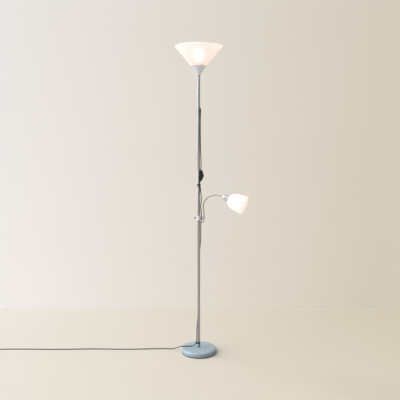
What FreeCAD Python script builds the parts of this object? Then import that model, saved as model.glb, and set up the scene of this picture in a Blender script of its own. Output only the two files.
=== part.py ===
import FreeCAD, Part

import math
import os

import Sketcher
from FreeCAD import Placement, Rotation, Vector

# Floor-standing uplighter with a reading lamp on a gooseneck.
# Millimetres, +Z up. The origin is on the floor, on the axis of the pole.

DIMENSIONS = [
    # base
    ("base_diameter", 204, "outside of the pressed cover"),
    ("base_height", 30, "floor to the flat where the pole stands"),
    ("base_edge_radius", 9, "rounded shoulder of the cover"),
    ("base_slope", 1.5, "fall of the top from its flat to the shoulder"),
    ("base_flat_radius", 26, "flat under the pole"),
    ("cover_wall", 1.2, "sheet of the cover"),
    ("foot_height", 3.5, "black plate on the floor"),
    ("foot_inset", 0.6, "plate inside the edge of the cover"),
    ("foot_lip_height", 5, "upstand that centres cover and weight"),
    ("foot_lip_wall", 2, "its wall"),
    ("foot_lip_gap", 0.3, "lip to cover, and lip to weight"),
    ("weight_edge_radius", 5, "rounded edge of the iron disc"),
    ("weight_top", 24.5, "floor to the top of the disc beside its hub"),
    ("weight_hub_radius", 20, "hub that carries the middle of the cover"),
    ("weight_hub_taper", 8, "radial run of the hub's flank"),
    ("weight_recess_radius", 24, "recess for washer and nut"),
    ("weight_recess_depth", 11, "its depth"),
    ("stud_radius", 5, "threaded tube M10"),
    ("stud_bore_radius", 3.5, "way for the wires"),
    ("stud_clearance", 0.2, "stud in the holes it passes"),
    ("stud_end_gap", 2, "stud end above the recess mouth"),
    ("washer_radius", 18, "clamping washer"),
    ("washer_thickness", 2, ""),
    ("nut_corner_radius", 9.8, "hexagon of 17 across flats"),
    ("nut_height", 6, ""),
    # pole
    ("pole_radius", 8, "steel tube of 16"),
    ("pole_wall", 1.2, ""),
    ("pole_section", 530.5, "each of the three tubes"),
    ("bush_clearance", 0.05, "bushes in the tube"),
    ("bush_length", 22, "end bushes"),
    ("bush_recess", 1.5, "bush inside the end of its tube"),
    ("coupling_length", 50, "bush across a butt of two tubes"),
    ("coupling_bore_radius", 4, ""),
    # uplight
    ("cup_bottom_radius", 10, "cup on the pole"),
    ("cup_top_radius", 44, "cup at the shade"),
    ("cup_height", 52, ""),
    ("cup_bow_radius", 220, "flare of its side"),
    ("cup_wall", 0.8, ""),
    ("cup_floor", 2, ""),
    ("cup_nut_corner_radius", 7.5, "hexagon of 13 across flats"),
    ("cup_nut_height", 5, ""),
    ("shade_rim_radius", 133, "wide mouth"),
    ("shade_height", 108, "floor of the shade to its rim"),
    ("shade_wall", 2.2, ""),
    ("shade_wall_across", 2.85, "the wall measured level, on its slope"),
    ("shade_lip_height", 4, "band round the rim"),
    ("shade_lip_step", 2.5, "how far the band stands out"),
    ("shade_hole_radius", 20.2, "hole over the holder's neck"),
    ("holder_neck_radius", 19.9, "threaded neck of the E27 holder"),
    ("holder_neck_height", 20, "neck above the shade's floor"),
    ("holder_flange_radius", 24, ""),
    ("holder_flange_thickness", 2.5, ""),
    ("holder_body_radius", 19.5, ""),
    ("holder_waist_radius", 15, ""),
    ("holder_stem_radius", 7.5, ""),
    ("holder_stem_rise", 7.5, "stem above the cup's underside"),
    ("holder_stem_height", 12.5, ""),
    ("holder_waist_height", 10, ""),
    ("holder_bore_radius", 13.6, "room for the lamp shell"),
    ("holder_bore_depth", 18, "below the shade's floor"),
    ("nipple_reach", 16, "nipple above the cup's underside"),
    ("shell_wall", 0.4, "brass lamp shell"),
    ("shell_clearance", 0.1, ""),
    ("shell_rise", 12, "shell above the shade's floor"),
    ("shade_ring_radius", 26.5, "ring that clamps the shade"),
    ("shade_ring_height", 8, ""),
    ("ring_clearance", 0.1, "rings on their necks"),
    ("lamp_cap_radius", 13, "E27 cap"),
    ("lamp_cap_rise", 11, "cap above the shade's floor"),
    ("lamp_neck_radius", 12.6, "glass at the cap"),
    ("lamp_glass_radius", 30, "pear lamp of 60"),
    ("lamp_centre_rise", 64, "its middle above the shade's floor"),
    ("lamp_tangent_radius", 22.3, "where neck cone meets the ball"),
    ("lamp_tangent_drop", 20.07, "the same, below the middle"),
    # cords on the pole
    ("cord_radius", 2.4, "round flex of 4.8"),
    ("cord_gap", 0.3, "cord in what holds it"),
    ("outlet_drop", 189.5, "top of the pole to the wire hole"),
    ("outlet_turn", -40, "degrees round the pole from +X"),
    ("outlet_hole_radius", 4, ""),
    ("outlet_hood_radius", 4.2, ""),
    ("outlet_hood_length", 14, ""),
    ("outlet_sleeve_length", 24, "tapered strain relief"),
    ("outlet_tip_radius", 3, ""),
    ("seat_gap", 0.3, "one curved face beside another"),
    ("clip_height", 14, "cord clip under the switch"),
    ("clip_wall", 1.6, ""),
    ("clip_bore_gap", 0.15, "clip on the pole"),
    ("clip_mouth", 5, "slot that snaps over the pole"),
    ("foot_clip_height", 8, "cord clip above the base"),
    ("foot_clip_rise", 21, "its lower edge above the base"),
    ("bead_length", 17, "moulded bead on the flex"),
    ("bead_radius", 4.3, "its thick lower part"),
    ("bead_top_radius", 3, ""),
    ("bead_tail_length", 4, ""),
    # inline switch
    ("switch_height", 1056.7, "floor to its middle"),
    ("switch_out", 9.5, "beside the pole"),
    ("switch_fore", 16.5, "before the pole"),
    ("switch_lean", 5, "degrees, its top away from the pole"),
    ("switch_length", 67.6, ""),
    ("switch_width", 16, "along the sight line"),
    ("switch_back", 8.5, "cord axis to the back face"),
    ("switch_front", 15.5, "cord axis to the front face"),
    ("switch_split", 2.5, "cord axis to the seam"),
    ("switch_nose_half", 4.5, "half the nose where the cord enters"),
    ("switch_shoulder", 14, "half the flat of the front face"),
    ("switch_slope_end", 22, "end of the front's slope"),
    ("switch_edge_radius", 1.5, ""),
    ("rocker_half_length", 10, ""),
    ("rocker_width", 10, ""),
    ("rocker_tip", 20.5, "cord axis to the ridge of the rocker"),
    ("rocker_sink", 3, "rocker below the front face"),
    ("rocker_pivot_sink", 1.7, "pin below the front face"),
    ("rocker_gap", 0.5, "rocker in its well"),
    ("rocker_rest_tilt", 7, "degrees, pressed at its lower end"),
    ("pin_radius", 0.9, "rocker pin"),
    ("pin_clearance", 0.05, ""),
    # reading arm
    ("collar_middle", 810.5, "height of the cross piece"),
    ("collar_height", 23, ""),
    ("collar_radius", 13, ""),
    ("collar_clearance", 0.1, "collar on the pole"),
    ("arm_reach", 31, "pole axis to the swivel axis"),
    ("arm_radius", 5.5, ""),
    ("arm_drop", 3, "arm below the collar's middle"),
    ("boss_radius", 8, "side boss that carries the gooseneck"),
    ("boss_height", 17, ""),
    ("swivel_radius", 3.5, "swivel pin"),
    ("swivel_clearance", 0.06, ""),
    ("swivel_flange_radius", 6, ""),
    ("swivel_seat_gap", 0.3, "flange over the boss"),
    ("retainer_depth", 7, "counterbore under the boss"),
    ("retainer_radius", 5.6, ""),
    ("retainer_height", 3, ""),
    ("knob_radius", 5, ""),
    ("knob_length", 7, ""),
    ("knob_stand", 17, "pole axis to the end of its boss"),
    ("knob_screw_radius", 2, ""),
    ("knob_flute_radius", 1, ""),
    ("tail_radius", 1.6, "flex of the reading lamp"),
    ("tail_drop", 15.3, "foot of the collar to where it enters the pole"),
    ("tail_hole_radius", 3.2, ""),
    # gooseneck
    ("neck_rise", 7, "first bend above the boss"),
    ("neck_yaw", -24, "degrees, the arm turned to the viewer"),
    ("neck_radius", 3.75, "ribbed hose of 7.5"),
    ("neck_groove", 0.4, "depth between ribs"),
    ("neck_link_length", 20.5, ""),
    ("neck_gap", 0.5, "between two links"),
    ("neck_knuckle_radius", 2, "round bar across a link's nose, in the next link"),
    ("neck_knuckle_length", 3.2, ""),
    ("neck_socket_radius", 2.8, ""),
    ("neck_socket_depth", 2.8, ""),
    # reading head, measured along its own axis
    ("ferrule_radius", 6, ""),
    ("ferrule_length", 10, ""),
    ("ferrule_stub_radius", 4.5, ""),
    ("ferrule_stub_length", 6, ""),
    ("head_radius", 18, "holder can"),
    ("head_length", 40, ""),
    ("head_back_radius", 11, "flat back of the can"),
    ("head_dome", 7, "its rounded back edge"),
    ("head_wall", 1, ""),
    ("small_body_radius", 13.5, "E14 holder"),
    ("small_neck_radius", 14, ""),
    ("small_neck_length", 12, ""),
    ("small_bore_radius", 8.8, ""),
    ("small_bore_depth", 12, "below the shade's floor"),
    ("small_ring_radius", 19, ""),
    ("small_ring_height", 6, ""),
    ("tulip_neck_radius", 24, "shade where it leaves its floor"),
    ("tulip_shoulder_radius", 43.8, ""),
    ("tulip_shoulder_length", 30, ""),
    ("tulip_mouth_radius", 53.7, ""),
    ("tulip_length", 94, ""),
    ("tulip_shoulder_bow", 58, ""),
    ("tulip_side_bow", 273, ""),
    ("tulip_wall", 2, ""),
    ("small_cap_radius", 7, "E14 cap"),
    ("small_cap_length", 22, ""),
    ("small_glass_radius", 22.5, "ball lamp of 45"),
    ("small_centre", 45.5, "its middle beyond the shade's floor"),
    # floor lead
    ("coil_middle_x", -1246, "middle of the coil"),
    ("coil_middle_y", 0, ""),
    ("coil_radius", 33.6, "outer turn, on the cord's axis"),
    ("coil_turns_in", 2, "turns of one layer"),
    ("coil_pitch", 5.3, "turn to turn, across and up"),
    ("plug_width", 35, ""),
    ("plug_length", 36, ""),
    ("plug_neck_width", 11, ""),
    ("plug_straight", 11, "length of full width at the pins"),
    ("plug_chamfer", 3.2, ""),
    ("plug_relief_length", 24, "tapered strain relief"),
    ("plug_relief_radius", 4.4, ""),
    ("plug_relief_tip", 3, ""),
    ("plug_pin_radius", 2, ""),
    ("plug_pin_length", 19, ""),
    ("plug_pin_spacing", 19, ""),
]

# Directions of the gooseneck at each of its bends, in degrees from upright.
NECK_HEADINGS = [-2, -7, -8, 6, 26, 45, 60, 72, 83, 95, 109]
RIBS_PER_LINK = 4

doc = FreeCAD.newDocument("reading_uplighter")
subparts = []


# ---------------------------------------------------------------- sheet

class Size:
    """A number together with the sheet formula that gives it."""

    def __init__(self, value, formula):
        self.value = float(value)
        self.formula = formula

    def __float__(self):
        return self.value

    def joined(self, sign, other, value):
        text = other.formula if isinstance(other, Size) else repr(float(other))
        return Size(value, "(%s %s %s)" % (self.formula, sign, text))

    def __add__(self, other):
        return self.joined("+", other, self.value + float(other))

    def __sub__(self, other):
        return self.joined("-", other, self.value - float(other))

    def __mul__(self, other):
        return self.joined("*", other, self.value * float(other))

    def __truediv__(self, other):
        return self.joined("/", other, self.value / float(other))

    def __neg__(self):
        return self * -1


class Sizes:
    """The sheet's cells, one attribute for each alias."""

    def __init__(self, dimensions):
        sheet = doc.addObject("Spreadsheet::Sheet", "Sizes")
        for row, (alias, value, note) in enumerate(dimensions, start=1):
            sheet.set("A%d" % row, alias)
            sheet.set("B%d" % row, str(value))
            sheet.set("C%d" % row, note)
            sheet.setAlias("B%d" % row, alias)
            setattr(self, alias, Size(value, "Sizes.%s" % alias))


s = Sizes(DIMENSIONS)
doc.recompute()
ZERO = s.base_height * 0


# ------------------------------------------------------------ operations

def bind(thing, name, size):
    """Sets a property and ties it to its formula."""
    setattr(thing, name, float(size))
    if isinstance(size, Size):
        thing.setExpression(name, size.formula)


def place(thing, base):
    """Ties an object's position to three sizes."""
    position = Vector(*[float(size) for size in base])
    thing.Placement = Placement(position, thing.Placement.Rotation)
    for axis, size in zip("xyz", base):
        if isinstance(size, Size):
            thing.setExpression(".Placement.Base.%s" % axis, size.formula)


def keep(thing, label):
    """Names a finished sub-part and notes it for the export."""
    thing.Label = label
    subparts.append(thing)
    return thing


def sketch_on(body, role, name):
    sketch = body.newObject("Sketcher::SketchObject", name)
    planes = [plane for plane in body.Origin.OriginFeatures if plane.Role == role]
    sketch.AttachmentSupport = (planes[0], [""])
    sketch.MapMode = "FlatFace"
    return sketch


def arc_between(start, end, radius, side):
    """A short arc; side is 1 where it turns left on its way, -1 to the right."""
    chord = end - start
    across = Vector(-chord.y, chord.x, 0).normalize()
    reach = math.sqrt(max(radius * radius - chord.Length ** 2 / 4, 0))
    centre = (start + end) * 0.5 + across * (side * reach)
    first, last = (start, end) if side > 0 else (end, start)
    angles = [math.atan2(p.y - centre.y, p.x - centre.x) for p in (first, last)]
    if angles[1] < angles[0]:
        angles[1] += 2 * math.pi
    circle = Part.Circle(centre, Vector(0, 0, 1), radius)
    return Part.ArcOfCircle(circle, angles[0], angles[1])


def draw_outline(sketch, corners):
    """Closes a loop. A corner is (across, up), or (across, up, radius, side) before an arc."""
    count = len(corners)
    spots = [Vector(float(corner[0]), float(corner[1]), 0) for corner in corners]
    starts, ends = [], []
    for index, corner in enumerate(corners):
        start, end = spots[index], spots[(index + 1) % count]
        if len(corner) == 2:
            sketch.addGeometry(Part.LineSegment(start, end), False)
            starts.append(1)
            ends.append(2)
        else:
            side = corner[3]
            sketch.addGeometry(arc_between(start, end, float(corner[2]), side), False)
            starts.append(1 if side > 0 else 2)
            ends.append(2 if side > 0 else 1)
    for index in range(count):
        following = (index + 1) % count
        sketch.addConstraint(Sketcher.Constraint(
            "Coincident", index, ends[index], following, starts[following]))
    for index, corner in enumerate(corners):
        for kind, size, axis in (("DistanceX", corner[0], -2), ("DistanceY", corner[1], -1)):
            if float(size) == 0:
                sketch.addConstraint(Sketcher.Constraint(
                    "PointOnObject", index, starts[index], axis))
            else:
                number = sketch.addConstraint(Sketcher.Constraint(
                    kind, -1, 1, index, starts[index], float(size)))
                sketch.setExpression("Constraints[%d]" % number, size.formula)
        if len(corner) > 2:
            number = sketch.addConstraint(Sketcher.Constraint("Radius", index, float(corner[2])))
            sketch.setExpression("Constraints[%d]" % number, corner[2].formula)


def turned_body(label, corners, placement=None):
    """A body turned about its upright axis."""
    body = doc.addObject("PartDesign::Body", label)
    sketch = sketch_on(body, "XZ_Plane", label + "_profile")
    draw_outline(sketch, corners)
    turning = body.newObject("PartDesign::Revolution", label + "_turning")
    turning.Profile = sketch
    turning.ReferenceAxis = (sketch, ["V_Axis"])
    turning.Angle = 360
    sketch.Visibility = False
    if placement:
        body.Placement = placement
    return body


def revolved(label, corners, placement=None):
    """A finished sub-part turned about its upright axis."""
    return keep(turned_body(label, corners, placement), label)


def padded_outline(name, corners, depth, role="XZ_Plane"):
    """A body with one pad of an outline; on XZ it grows towards -Y."""
    body = doc.addObject("PartDesign::Body", name)
    sketch = sketch_on(body, role, name + "_outline")
    draw_outline(sketch, corners)
    pad = body.newObject("PartDesign::Pad", name + "_pad")
    pad.Profile = sketch
    bind(pad, "Length", depth)
    return body


def ring_profile(inner, outer, low, high):
    return [(inner, low), (outer, low), (outer, high), (inner, high)]


def cylinder(name, radius, length, base=None, direction=None):
    solid = doc.addObject("Part::Cylinder", name)
    bind(solid, "Radius", radius)
    bind(solid, "Height", length)
    if direction:
        solid.Placement = Placement(Vector(), Rotation(Vector(0, 0, 1), direction))
    if base:
        place(solid, base)
    return solid


def block(name, lengths, base):
    solid = doc.addObject("Part::Box", name)
    for side, size in zip(("Length", "Width", "Height"), lengths):
        bind(solid, side, size)
    place(solid, base)
    return solid


def fused(name, pieces):
    joined = doc.addObject("Part::MultiFuse", name)
    joined.Shapes = pieces
    return joined


def cut(name, base, tool):
    result = doc.addObject("Part::Cut", name)
    result.Base = base
    result.Tool = tool
    return result


def hexagon_nut(label, corner_radius, height, bore_radius, base_height):
    prism = doc.addObject("Part::Prism", label + "_hexagon")
    prism.Polygon = 6
    bind(prism, "Circumradius", corner_radius)
    bind(prism, "Height", height)
    place(prism, (ZERO, ZERO, base_height))
    bore = cylinder(label + "_bore", bore_radius, height, (ZERO, ZERO, base_height))
    return keep(cut(label, prism, bore), label)


def feature(label, shape, placement=None):
    """A piece whose shape is worked out from the sizes."""
    solid = doc.addObject("Part::Feature", label)
    solid.Shape = shape
    if placement:
        solid.Placement = placement
    return keep(solid, label)


# ------------------------------------------------------------------ base

base_radius = s.base_diameter / 2
cover_inner_radius = base_radius - s.cover_wall
lip_outer_radius = cover_inner_radius - s.foot_lip_gap
lip_inner_radius = lip_outer_radius - s.foot_lip_wall
weight_radius = lip_inner_radius - s.foot_lip_gap
stud_hole_radius = s.stud_radius + s.stud_clearance
recess_ceiling = s.foot_height + s.weight_recess_depth
shoulder_top = s.base_height - s.base_slope
shoulder_foot = shoulder_top - s.base_edge_radius


def make_base():
    plate_radius = base_radius - s.foot_inset
    revolved("foot_plate", [
        (ZERO, ZERO),
        (plate_radius, ZERO),
        (plate_radius, s.foot_height),
        (lip_outer_radius, s.foot_height),
        (lip_outer_radius, s.foot_height + s.foot_lip_height),
        (lip_inner_radius, s.foot_height + s.foot_lip_height),
        (lip_inner_radius, s.foot_height),
        (ZERO, s.foot_height),
    ])
    revolved("base_cover", [
        (base_radius, s.foot_height),
        (base_radius, shoulder_foot, s.base_edge_radius, 1),
        (base_radius - s.base_edge_radius, shoulder_top),
        (s.base_flat_radius, s.base_height),
        (stud_hole_radius, s.base_height),
        (stud_hole_radius, s.base_height - s.cover_wall),
        (s.base_flat_radius, s.base_height - s.cover_wall),
        (base_radius - s.base_edge_radius, shoulder_top - s.cover_wall,
         s.base_edge_radius - s.cover_wall, -1),
        (cover_inner_radius, shoulder_foot),
        (cover_inner_radius, s.foot_height),
    ])
    revolved("base_weight", [
        (stud_hole_radius, recess_ceiling),
        (s.weight_recess_radius, recess_ceiling),
        (s.weight_recess_radius, s.foot_height),
        (weight_radius, s.foot_height),
        (weight_radius, s.weight_top - s.weight_edge_radius, s.weight_edge_radius, 1),
        (weight_radius - s.weight_edge_radius, s.weight_top),
        (s.weight_hub_radius + s.weight_hub_taper, s.weight_top),
        (s.weight_hub_radius, s.base_height - s.cover_wall),
        (stud_hole_radius, s.base_height - s.cover_wall),
    ])
    washer_foot = recess_ceiling - s.washer_thickness
    revolved("weight_washer", ring_profile(
        stud_hole_radius, s.washer_radius, washer_foot, recess_ceiling))
    hexagon_nut("weight_nut", s.nut_corner_radius, s.nut_height,
                s.stud_radius + s.bush_clearance, washer_foot - s.nut_height)
    stud_foot = s.foot_height + s.stud_end_gap
    stud_top = s.base_height + s.bush_recess + s.bush_length
    revolved("pole_stud", ring_profile(
        s.stud_bore_radius, s.stud_radius, stud_foot, stud_top))


# ------------------------------------------------------------------ pole

pole_bore = s.pole_radius - s.pole_wall
bush_radius = pole_bore - s.bush_clearance
first_butt = s.base_height + s.pole_section
second_butt = first_butt + s.pole_section
pole_top = second_butt + s.pole_section
outlet_height = pole_top - s.outlet_drop
collar_foot = s.collar_middle - s.collar_height / 2
tail_height = collar_foot - s.tail_drop
outlet_direction = Rotation(Vector(0, 0, 1), float(s.outlet_turn)).multVec(Vector(1, 0, 0))


def tube(label, foot):
    outside = cylinder(label + "_outside", s.pole_radius, s.pole_section, (ZERO, ZERO, foot))
    inside = cylinder(label + "_inside", pole_bore, s.pole_section, (ZERO, ZERO, foot))
    return cut(label + "_tube", outside, inside)


def side_hole(name, radius, height, direction):
    return cylinder(name, radius, s.pole_radius * 2, (ZERO, ZERO, height), direction)


def make_pole():
    keep(tube("pole_lower", s.base_height), "pole_lower")
    middle = tube("pole_middle", first_butt)
    tail_hole = side_hole("tail_hole", s.tail_hole_radius, tail_height, Vector(1, 0, 0))
    keep(cut("pole_middle", middle, tail_hole), "pole_middle")
    upper = tube("pole_upper", second_butt)
    outlet_hole = side_hole(
        "outlet_hole", s.outlet_hole_radius, outlet_height, outlet_direction)
    keep(cut("pole_upper", upper, outlet_hole), "pole_upper")
    threaded = s.stud_radius + s.bush_clearance
    bottom = s.base_height + s.bush_recess
    revolved("pole_bottom_bush", ring_profile(
        threaded, bush_radius, bottom, bottom + s.bush_length))
    half = s.coupling_length / 2
    for label, butt in (("coupling_lower", first_butt), ("coupling_upper", second_butt)):
        revolved(label, ring_profile(
            s.coupling_bore_radius, bush_radius, butt - half, butt + half))
    top = pole_top - s.bush_recess
    revolved("pole_top_bush", ring_profile(threaded, bush_radius, top - s.bush_length, top))


# --------------------------------------------------------------- uplight

cup_foot = pole_top
shade_floor = cup_foot + s.cup_height
shade_rim = shade_floor + s.shade_height


def make_cup():
    stud_gap = s.stud_radius + s.stud_clearance
    inner_foot = cup_foot + s.cup_floor
    revolved("uplight_cup", [
        (s.cup_bottom_radius, cup_foot, s.cup_bow_radius, -1),
        (s.cup_top_radius, shade_floor),
        (s.cup_top_radius - s.cup_wall, shade_floor, s.cup_bow_radius + s.cup_wall, 1),
        (s.cup_bottom_radius - s.cup_wall, inner_foot),
        (stud_gap, inner_foot),
        (stud_gap, cup_foot),
    ])
    revolved("uplight_nipple", ring_profile(
        s.stud_bore_radius, s.stud_radius,
        pole_top - s.bush_recess - s.bush_length, cup_foot + s.nipple_reach))
    hexagon_nut("cup_nut", s.cup_nut_corner_radius, s.cup_nut_height,
                s.stud_radius + s.bush_clearance, inner_foot)


def make_lamp_holder():
    stem_foot = cup_foot + s.holder_stem_rise
    waist_foot = stem_foot + s.holder_stem_height
    body_foot = waist_foot + s.holder_waist_height
    flange_foot = shade_floor - s.holder_flange_thickness
    neck_top = shade_floor + s.holder_neck_height
    bore_foot = shade_floor - s.holder_bore_depth
    stem_bore = s.stud_radius + s.stud_clearance
    revolved("uplight_holder", [
        (stem_bore, stem_foot),
        (s.holder_stem_radius, stem_foot),
        (s.holder_stem_radius, waist_foot),
        (s.holder_waist_radius, waist_foot),
        (s.holder_waist_radius, body_foot),
        (s.holder_body_radius, body_foot),
        (s.holder_body_radius, flange_foot),
        (s.holder_flange_radius, flange_foot),
        (s.holder_flange_radius, shade_floor),
        (s.holder_neck_radius, shade_floor),
        (s.holder_neck_radius, neck_top),
        (s.holder_bore_radius, neck_top),
        (s.holder_bore_radius, bore_foot),
        (stem_bore, bore_foot),
    ])
    shell_outer = s.holder_bore_radius - s.shell_clearance
    shell_foot = bore_foot + s.shell_clearance
    shell_top = shade_floor + s.shell_rise
    revolved("uplight_shell", [
        (ZERO, shell_foot),
        (shell_outer, shell_foot),
        (shell_outer, shell_top),
        (shell_outer - s.shell_wall, shell_top),
        (shell_outer - s.shell_wall, shell_foot + s.shell_wall),
        (ZERO, shell_foot + s.shell_wall),
    ])
    ring_foot = shade_floor + s.shade_wall
    revolved("uplight_ring", ring_profile(
        s.holder_neck_radius + s.ring_clearance, s.shade_ring_radius,
        ring_foot, ring_foot + s.shade_ring_height))
    cap_foot = shell_foot + s.shell_wall + s.shell_clearance
    cap_top = shade_floor + s.lamp_cap_rise
    revolved("uplight_lamp_cap", [
        (ZERO, cap_foot),
        (s.lamp_cap_radius * 0.6, cap_foot),
        (s.lamp_cap_radius, cap_foot + s.lamp_cap_radius * 0.3),
        (s.lamp_cap_radius, cap_top),
        (ZERO, cap_top),
    ])
    middle = shade_floor + s.lamp_centre_rise
    revolved("uplight_lamp_glass", [
        (ZERO, cap_top),
        (s.lamp_neck_radius, cap_top),
        (s.lamp_neck_radius, cap_top + s.lamp_cap_radius * 0.6),
        (s.lamp_tangent_radius, middle - s.lamp_tangent_drop, s.lamp_glass_radius, 1),
        (s.lamp_glass_radius, middle, s.lamp_glass_radius, 1),
        (ZERO, middle + s.lamp_glass_radius),
    ])


def make_uplight_shade():
    band_foot = shade_rim - s.shade_lip_height
    band_inner = s.shade_rim_radius - s.shade_lip_step
    slope = (band_inner - s.cup_top_radius) / (s.shade_height - s.shade_lip_height)
    floor_inner = s.cup_top_radius - s.shade_wall_across + slope * s.shade_wall
    rim_inner = band_inner + slope * s.shade_lip_height - s.shade_wall_across
    revolved("uplight_shade", [
        (s.shade_hole_radius, shade_floor),
        (s.cup_top_radius, shade_floor),
        (band_inner, band_foot),
        (s.shade_rim_radius, band_foot),
        (s.shade_rim_radius, shade_rim),
        (rim_inner, shade_rim),
        (floor_inner, shade_floor + s.shade_wall),
        (s.shade_hole_radius, shade_floor + s.shade_wall),
    ])


# ------------------------------------------------------- cords and clips

class Route:
    """Straight runs joined by tangent arcs, as a cord lies."""

    SHARE = 0.45  # part of the shorter run that an arc takes

    def __init__(self, name, points):
        self.name = name
        self.points = points
        self.radii = []

    def wire(self):
        edges = []
        here = self.points[0]
        for before, corner, after in zip(self.points, self.points[1:], self.points[2:]):
            into, out = corner - before, after - corner
            half_turn = into.getAngle(out) / 2
            setback = self.SHARE * min(into.Length, out.Length)
            radius = setback / math.tan(half_turn)
            into.normalize()
            out.normalize()
            inward = (out - into).normalize()
            first, last = corner - into * setback, corner + out * setback
            crown = corner + inward * (radius / math.cos(half_turn) - radius)
            edges.append(Part.LineSegment(here, first).toShape())
            edges.append(Part.Arc(first, crown, last).toShape())
            self.radii.append(radius)
            here = last
        edges.append(Part.LineSegment(here, self.points[-1]).toShape())
        return Part.Wire(edges)


def tube_along(name, wire, radius):
    """A round bar on a path, its volume compared with section times length."""
    start = wire.Edges[0].firstVertex().Point if wire.Edges[0].Orientation == "Forward" \
        else wire.Edges[0].lastVertex().Point
    ahead = wire.Edges[0].tangentAt(wire.Edges[0].FirstParameter)
    profile = Part.Wire([Part.Circle(start, ahead, radius).toShape()])
    shape = wire.makePipeShell([profile], True, False)
    expected = math.pi * radius ** 2 * wire.Length
    print("%s: length %.1f, volume over section times length %.4f"
          % (name, wire.Length, shape.Volume / expected))
    return shape


def cord(label, points, radius):
    route = Route(label, points)
    wire = route.wire()
    print("%s: bend radii %s" % (label, " ".join("%.0f" % r for r in route.radii)))
    return feature(label, tube_along(label, wire, radius))


def vectors(rows):
    return [Vector(*row) for row in rows]


def corners_between(rows, low, high):
    """Corners given by shares of the height from low to high."""
    return [Vector(x, y, low + (high - low) * share) for x, y, share in rows]


# inline switch: its own frame has the cord's axis upright and its front to +X
switch_middle = Vector(float(s.switch_out), -float(s.switch_fore), float(s.switch_height))
switch_frame = Placement(switch_middle, Rotation(Vector(0, 1, 0), float(s.switch_lean)))


def switch_point(x, y, z):
    return switch_frame.multVec(Vector(x, y, z))


def switch_end(sign):
    """Where the cord meets the nose of the switch; sign 1 is the top."""
    return switch_point(0, 0, sign * float(s.switch_length) / 2)


# Routes of the flex, chosen along what the lamp shows. On the pole a corner is
# (x, y, share), its share the part of the height between two fixed places.
SWITCH_LEAD_CORNERS = [
    (8.9, -8.9, 0.7907), (9.1, -8.6, 0.6266), (9.9, -8.5, 0.4463), (11.5, -9.6, 0.2757),
    (13.2, -12.6, 0.1501),
]
SWITCH_LEAD_DROP = 25
CORNERS_ABOVE_COLLAR = [
    (7.7, -12.8, 0.8493), (10.2, -11.9, 0.7458), (15.0, -11.4, 0.6234), (16.6, -11.0, 0.5293),
    (13.4, -10.7, 0.4164), (10.4, -10.9, 0.3129), (14.0, -11.6, 0.2000), (16.9, -12.2, 0.0776),
]
CORNERS_BELOW_COLLAR = [
    (15.8, -12.6, 0.9853), (12.0, -9.8, 0.9545), (11.7, -4.6, 0.9174), (12.1, 2.2, 0.8635),
    (9.4, 8.4, 0.8008), (3.6, 12.0, 0.7252), (-0.5, 12.2, 0.6419), (-1.4, 11.7, 0.5496),
    (0.2, 11.6, 0.4561), (0.4, 12.0, 0.3639), (-3.0, 12.3, 0.2742), (-8.4, 9.3, 0.1960),
    (-11.9, 4.0, 0.1307), (-12.3, 0.6, 0.0807), (-12.2, 0.0, 0.0474),
]
MAINS_FLOOR_POINTS = [
    (-19.9, 0.6, 43.5), (-32.0, 3.6, 33.4), (-51, 8.6, 32.3), (-76, 13.8, 31.8),
    (-100, 17.2, 31.4), (-121, 21.6, 24.0), (-144, 28.6, 11.0), (-171, 37.0, 4.2),
    (-209, 42.4, 2.4), (-262, 41.8, 2.4), (-322, 37.4, 2.4), (-386, 34.0, 2.4),
    (-452, 33.2, 2.4), (-520, 34.8, 2.4), (-590, 37.4, 2.4), (-660, 38.0, 2.4),
    (-729, 36.2, 2.4), (-797, 33.0, 2.4), (-864, 31.2, 2.4), (-930, 31.6, 2.4),
    (-994, 33.6, 2.4), (-1054, 35.2, 2.4), (-1110, 35.4, 2.4), (-1160, 34.6, 2.4),
]


def leaned(base, ahead):
    """A placement whose Z runs along a direction."""
    return Placement(base, Rotation(Vector(0, 0, 1), ahead))


def make_outlet():
    """Bush in the pole's wall with a hood that sends the flex straight down."""
    stand = s.pole_radius + s.seat_gap + s.outlet_hood_radius
    hood_top = outlet_height + s.outlet_hood_length / 2
    hood_foot = hood_top - s.outlet_hood_length
    sleeve_foot = hood_foot - s.outlet_sleeve_length
    turn = Rotation(Vector(0, 0, 1), float(s.outlet_turn))
    hood = doc.addObject("PartDesign::Body", "outlet_hood")
    sketch = sketch_on(hood, "XZ_Plane", "outlet_hood_profile")
    draw_outline(sketch, [
        (ZERO, sleeve_foot),
        (s.outlet_tip_radius, sleeve_foot),
        (s.outlet_hood_radius, hood_foot),
        (s.outlet_hood_radius, hood_top - s.outlet_hood_radius, s.outlet_hood_radius, 1),
        (ZERO, hood_top),
    ])
    turning = hood.newObject("PartDesign::Revolution", "outlet_hood_turning")
    turning.Profile = sketch
    turning.ReferenceAxis = (sketch, ["V_Axis"])
    turning.Angle = 360
    place(hood, (stand, ZERO, ZERO))
    stem_start = pole_bore - s.pole_wall
    stem = cylinder("outlet_stem", s.outlet_hole_radius - s.bush_clearance, stand - stem_start,
                    (stem_start, ZERO, outlet_height), Vector(1, 0, 0))
    outlet = fused("cord_outlet", [hood, stem])
    outlet.Placement = Placement(Vector(), turn)
    keep(outlet, "cord_outlet")
    return turn.multVec(Vector(float(stand), 0, float(sleeve_foot)))


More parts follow.
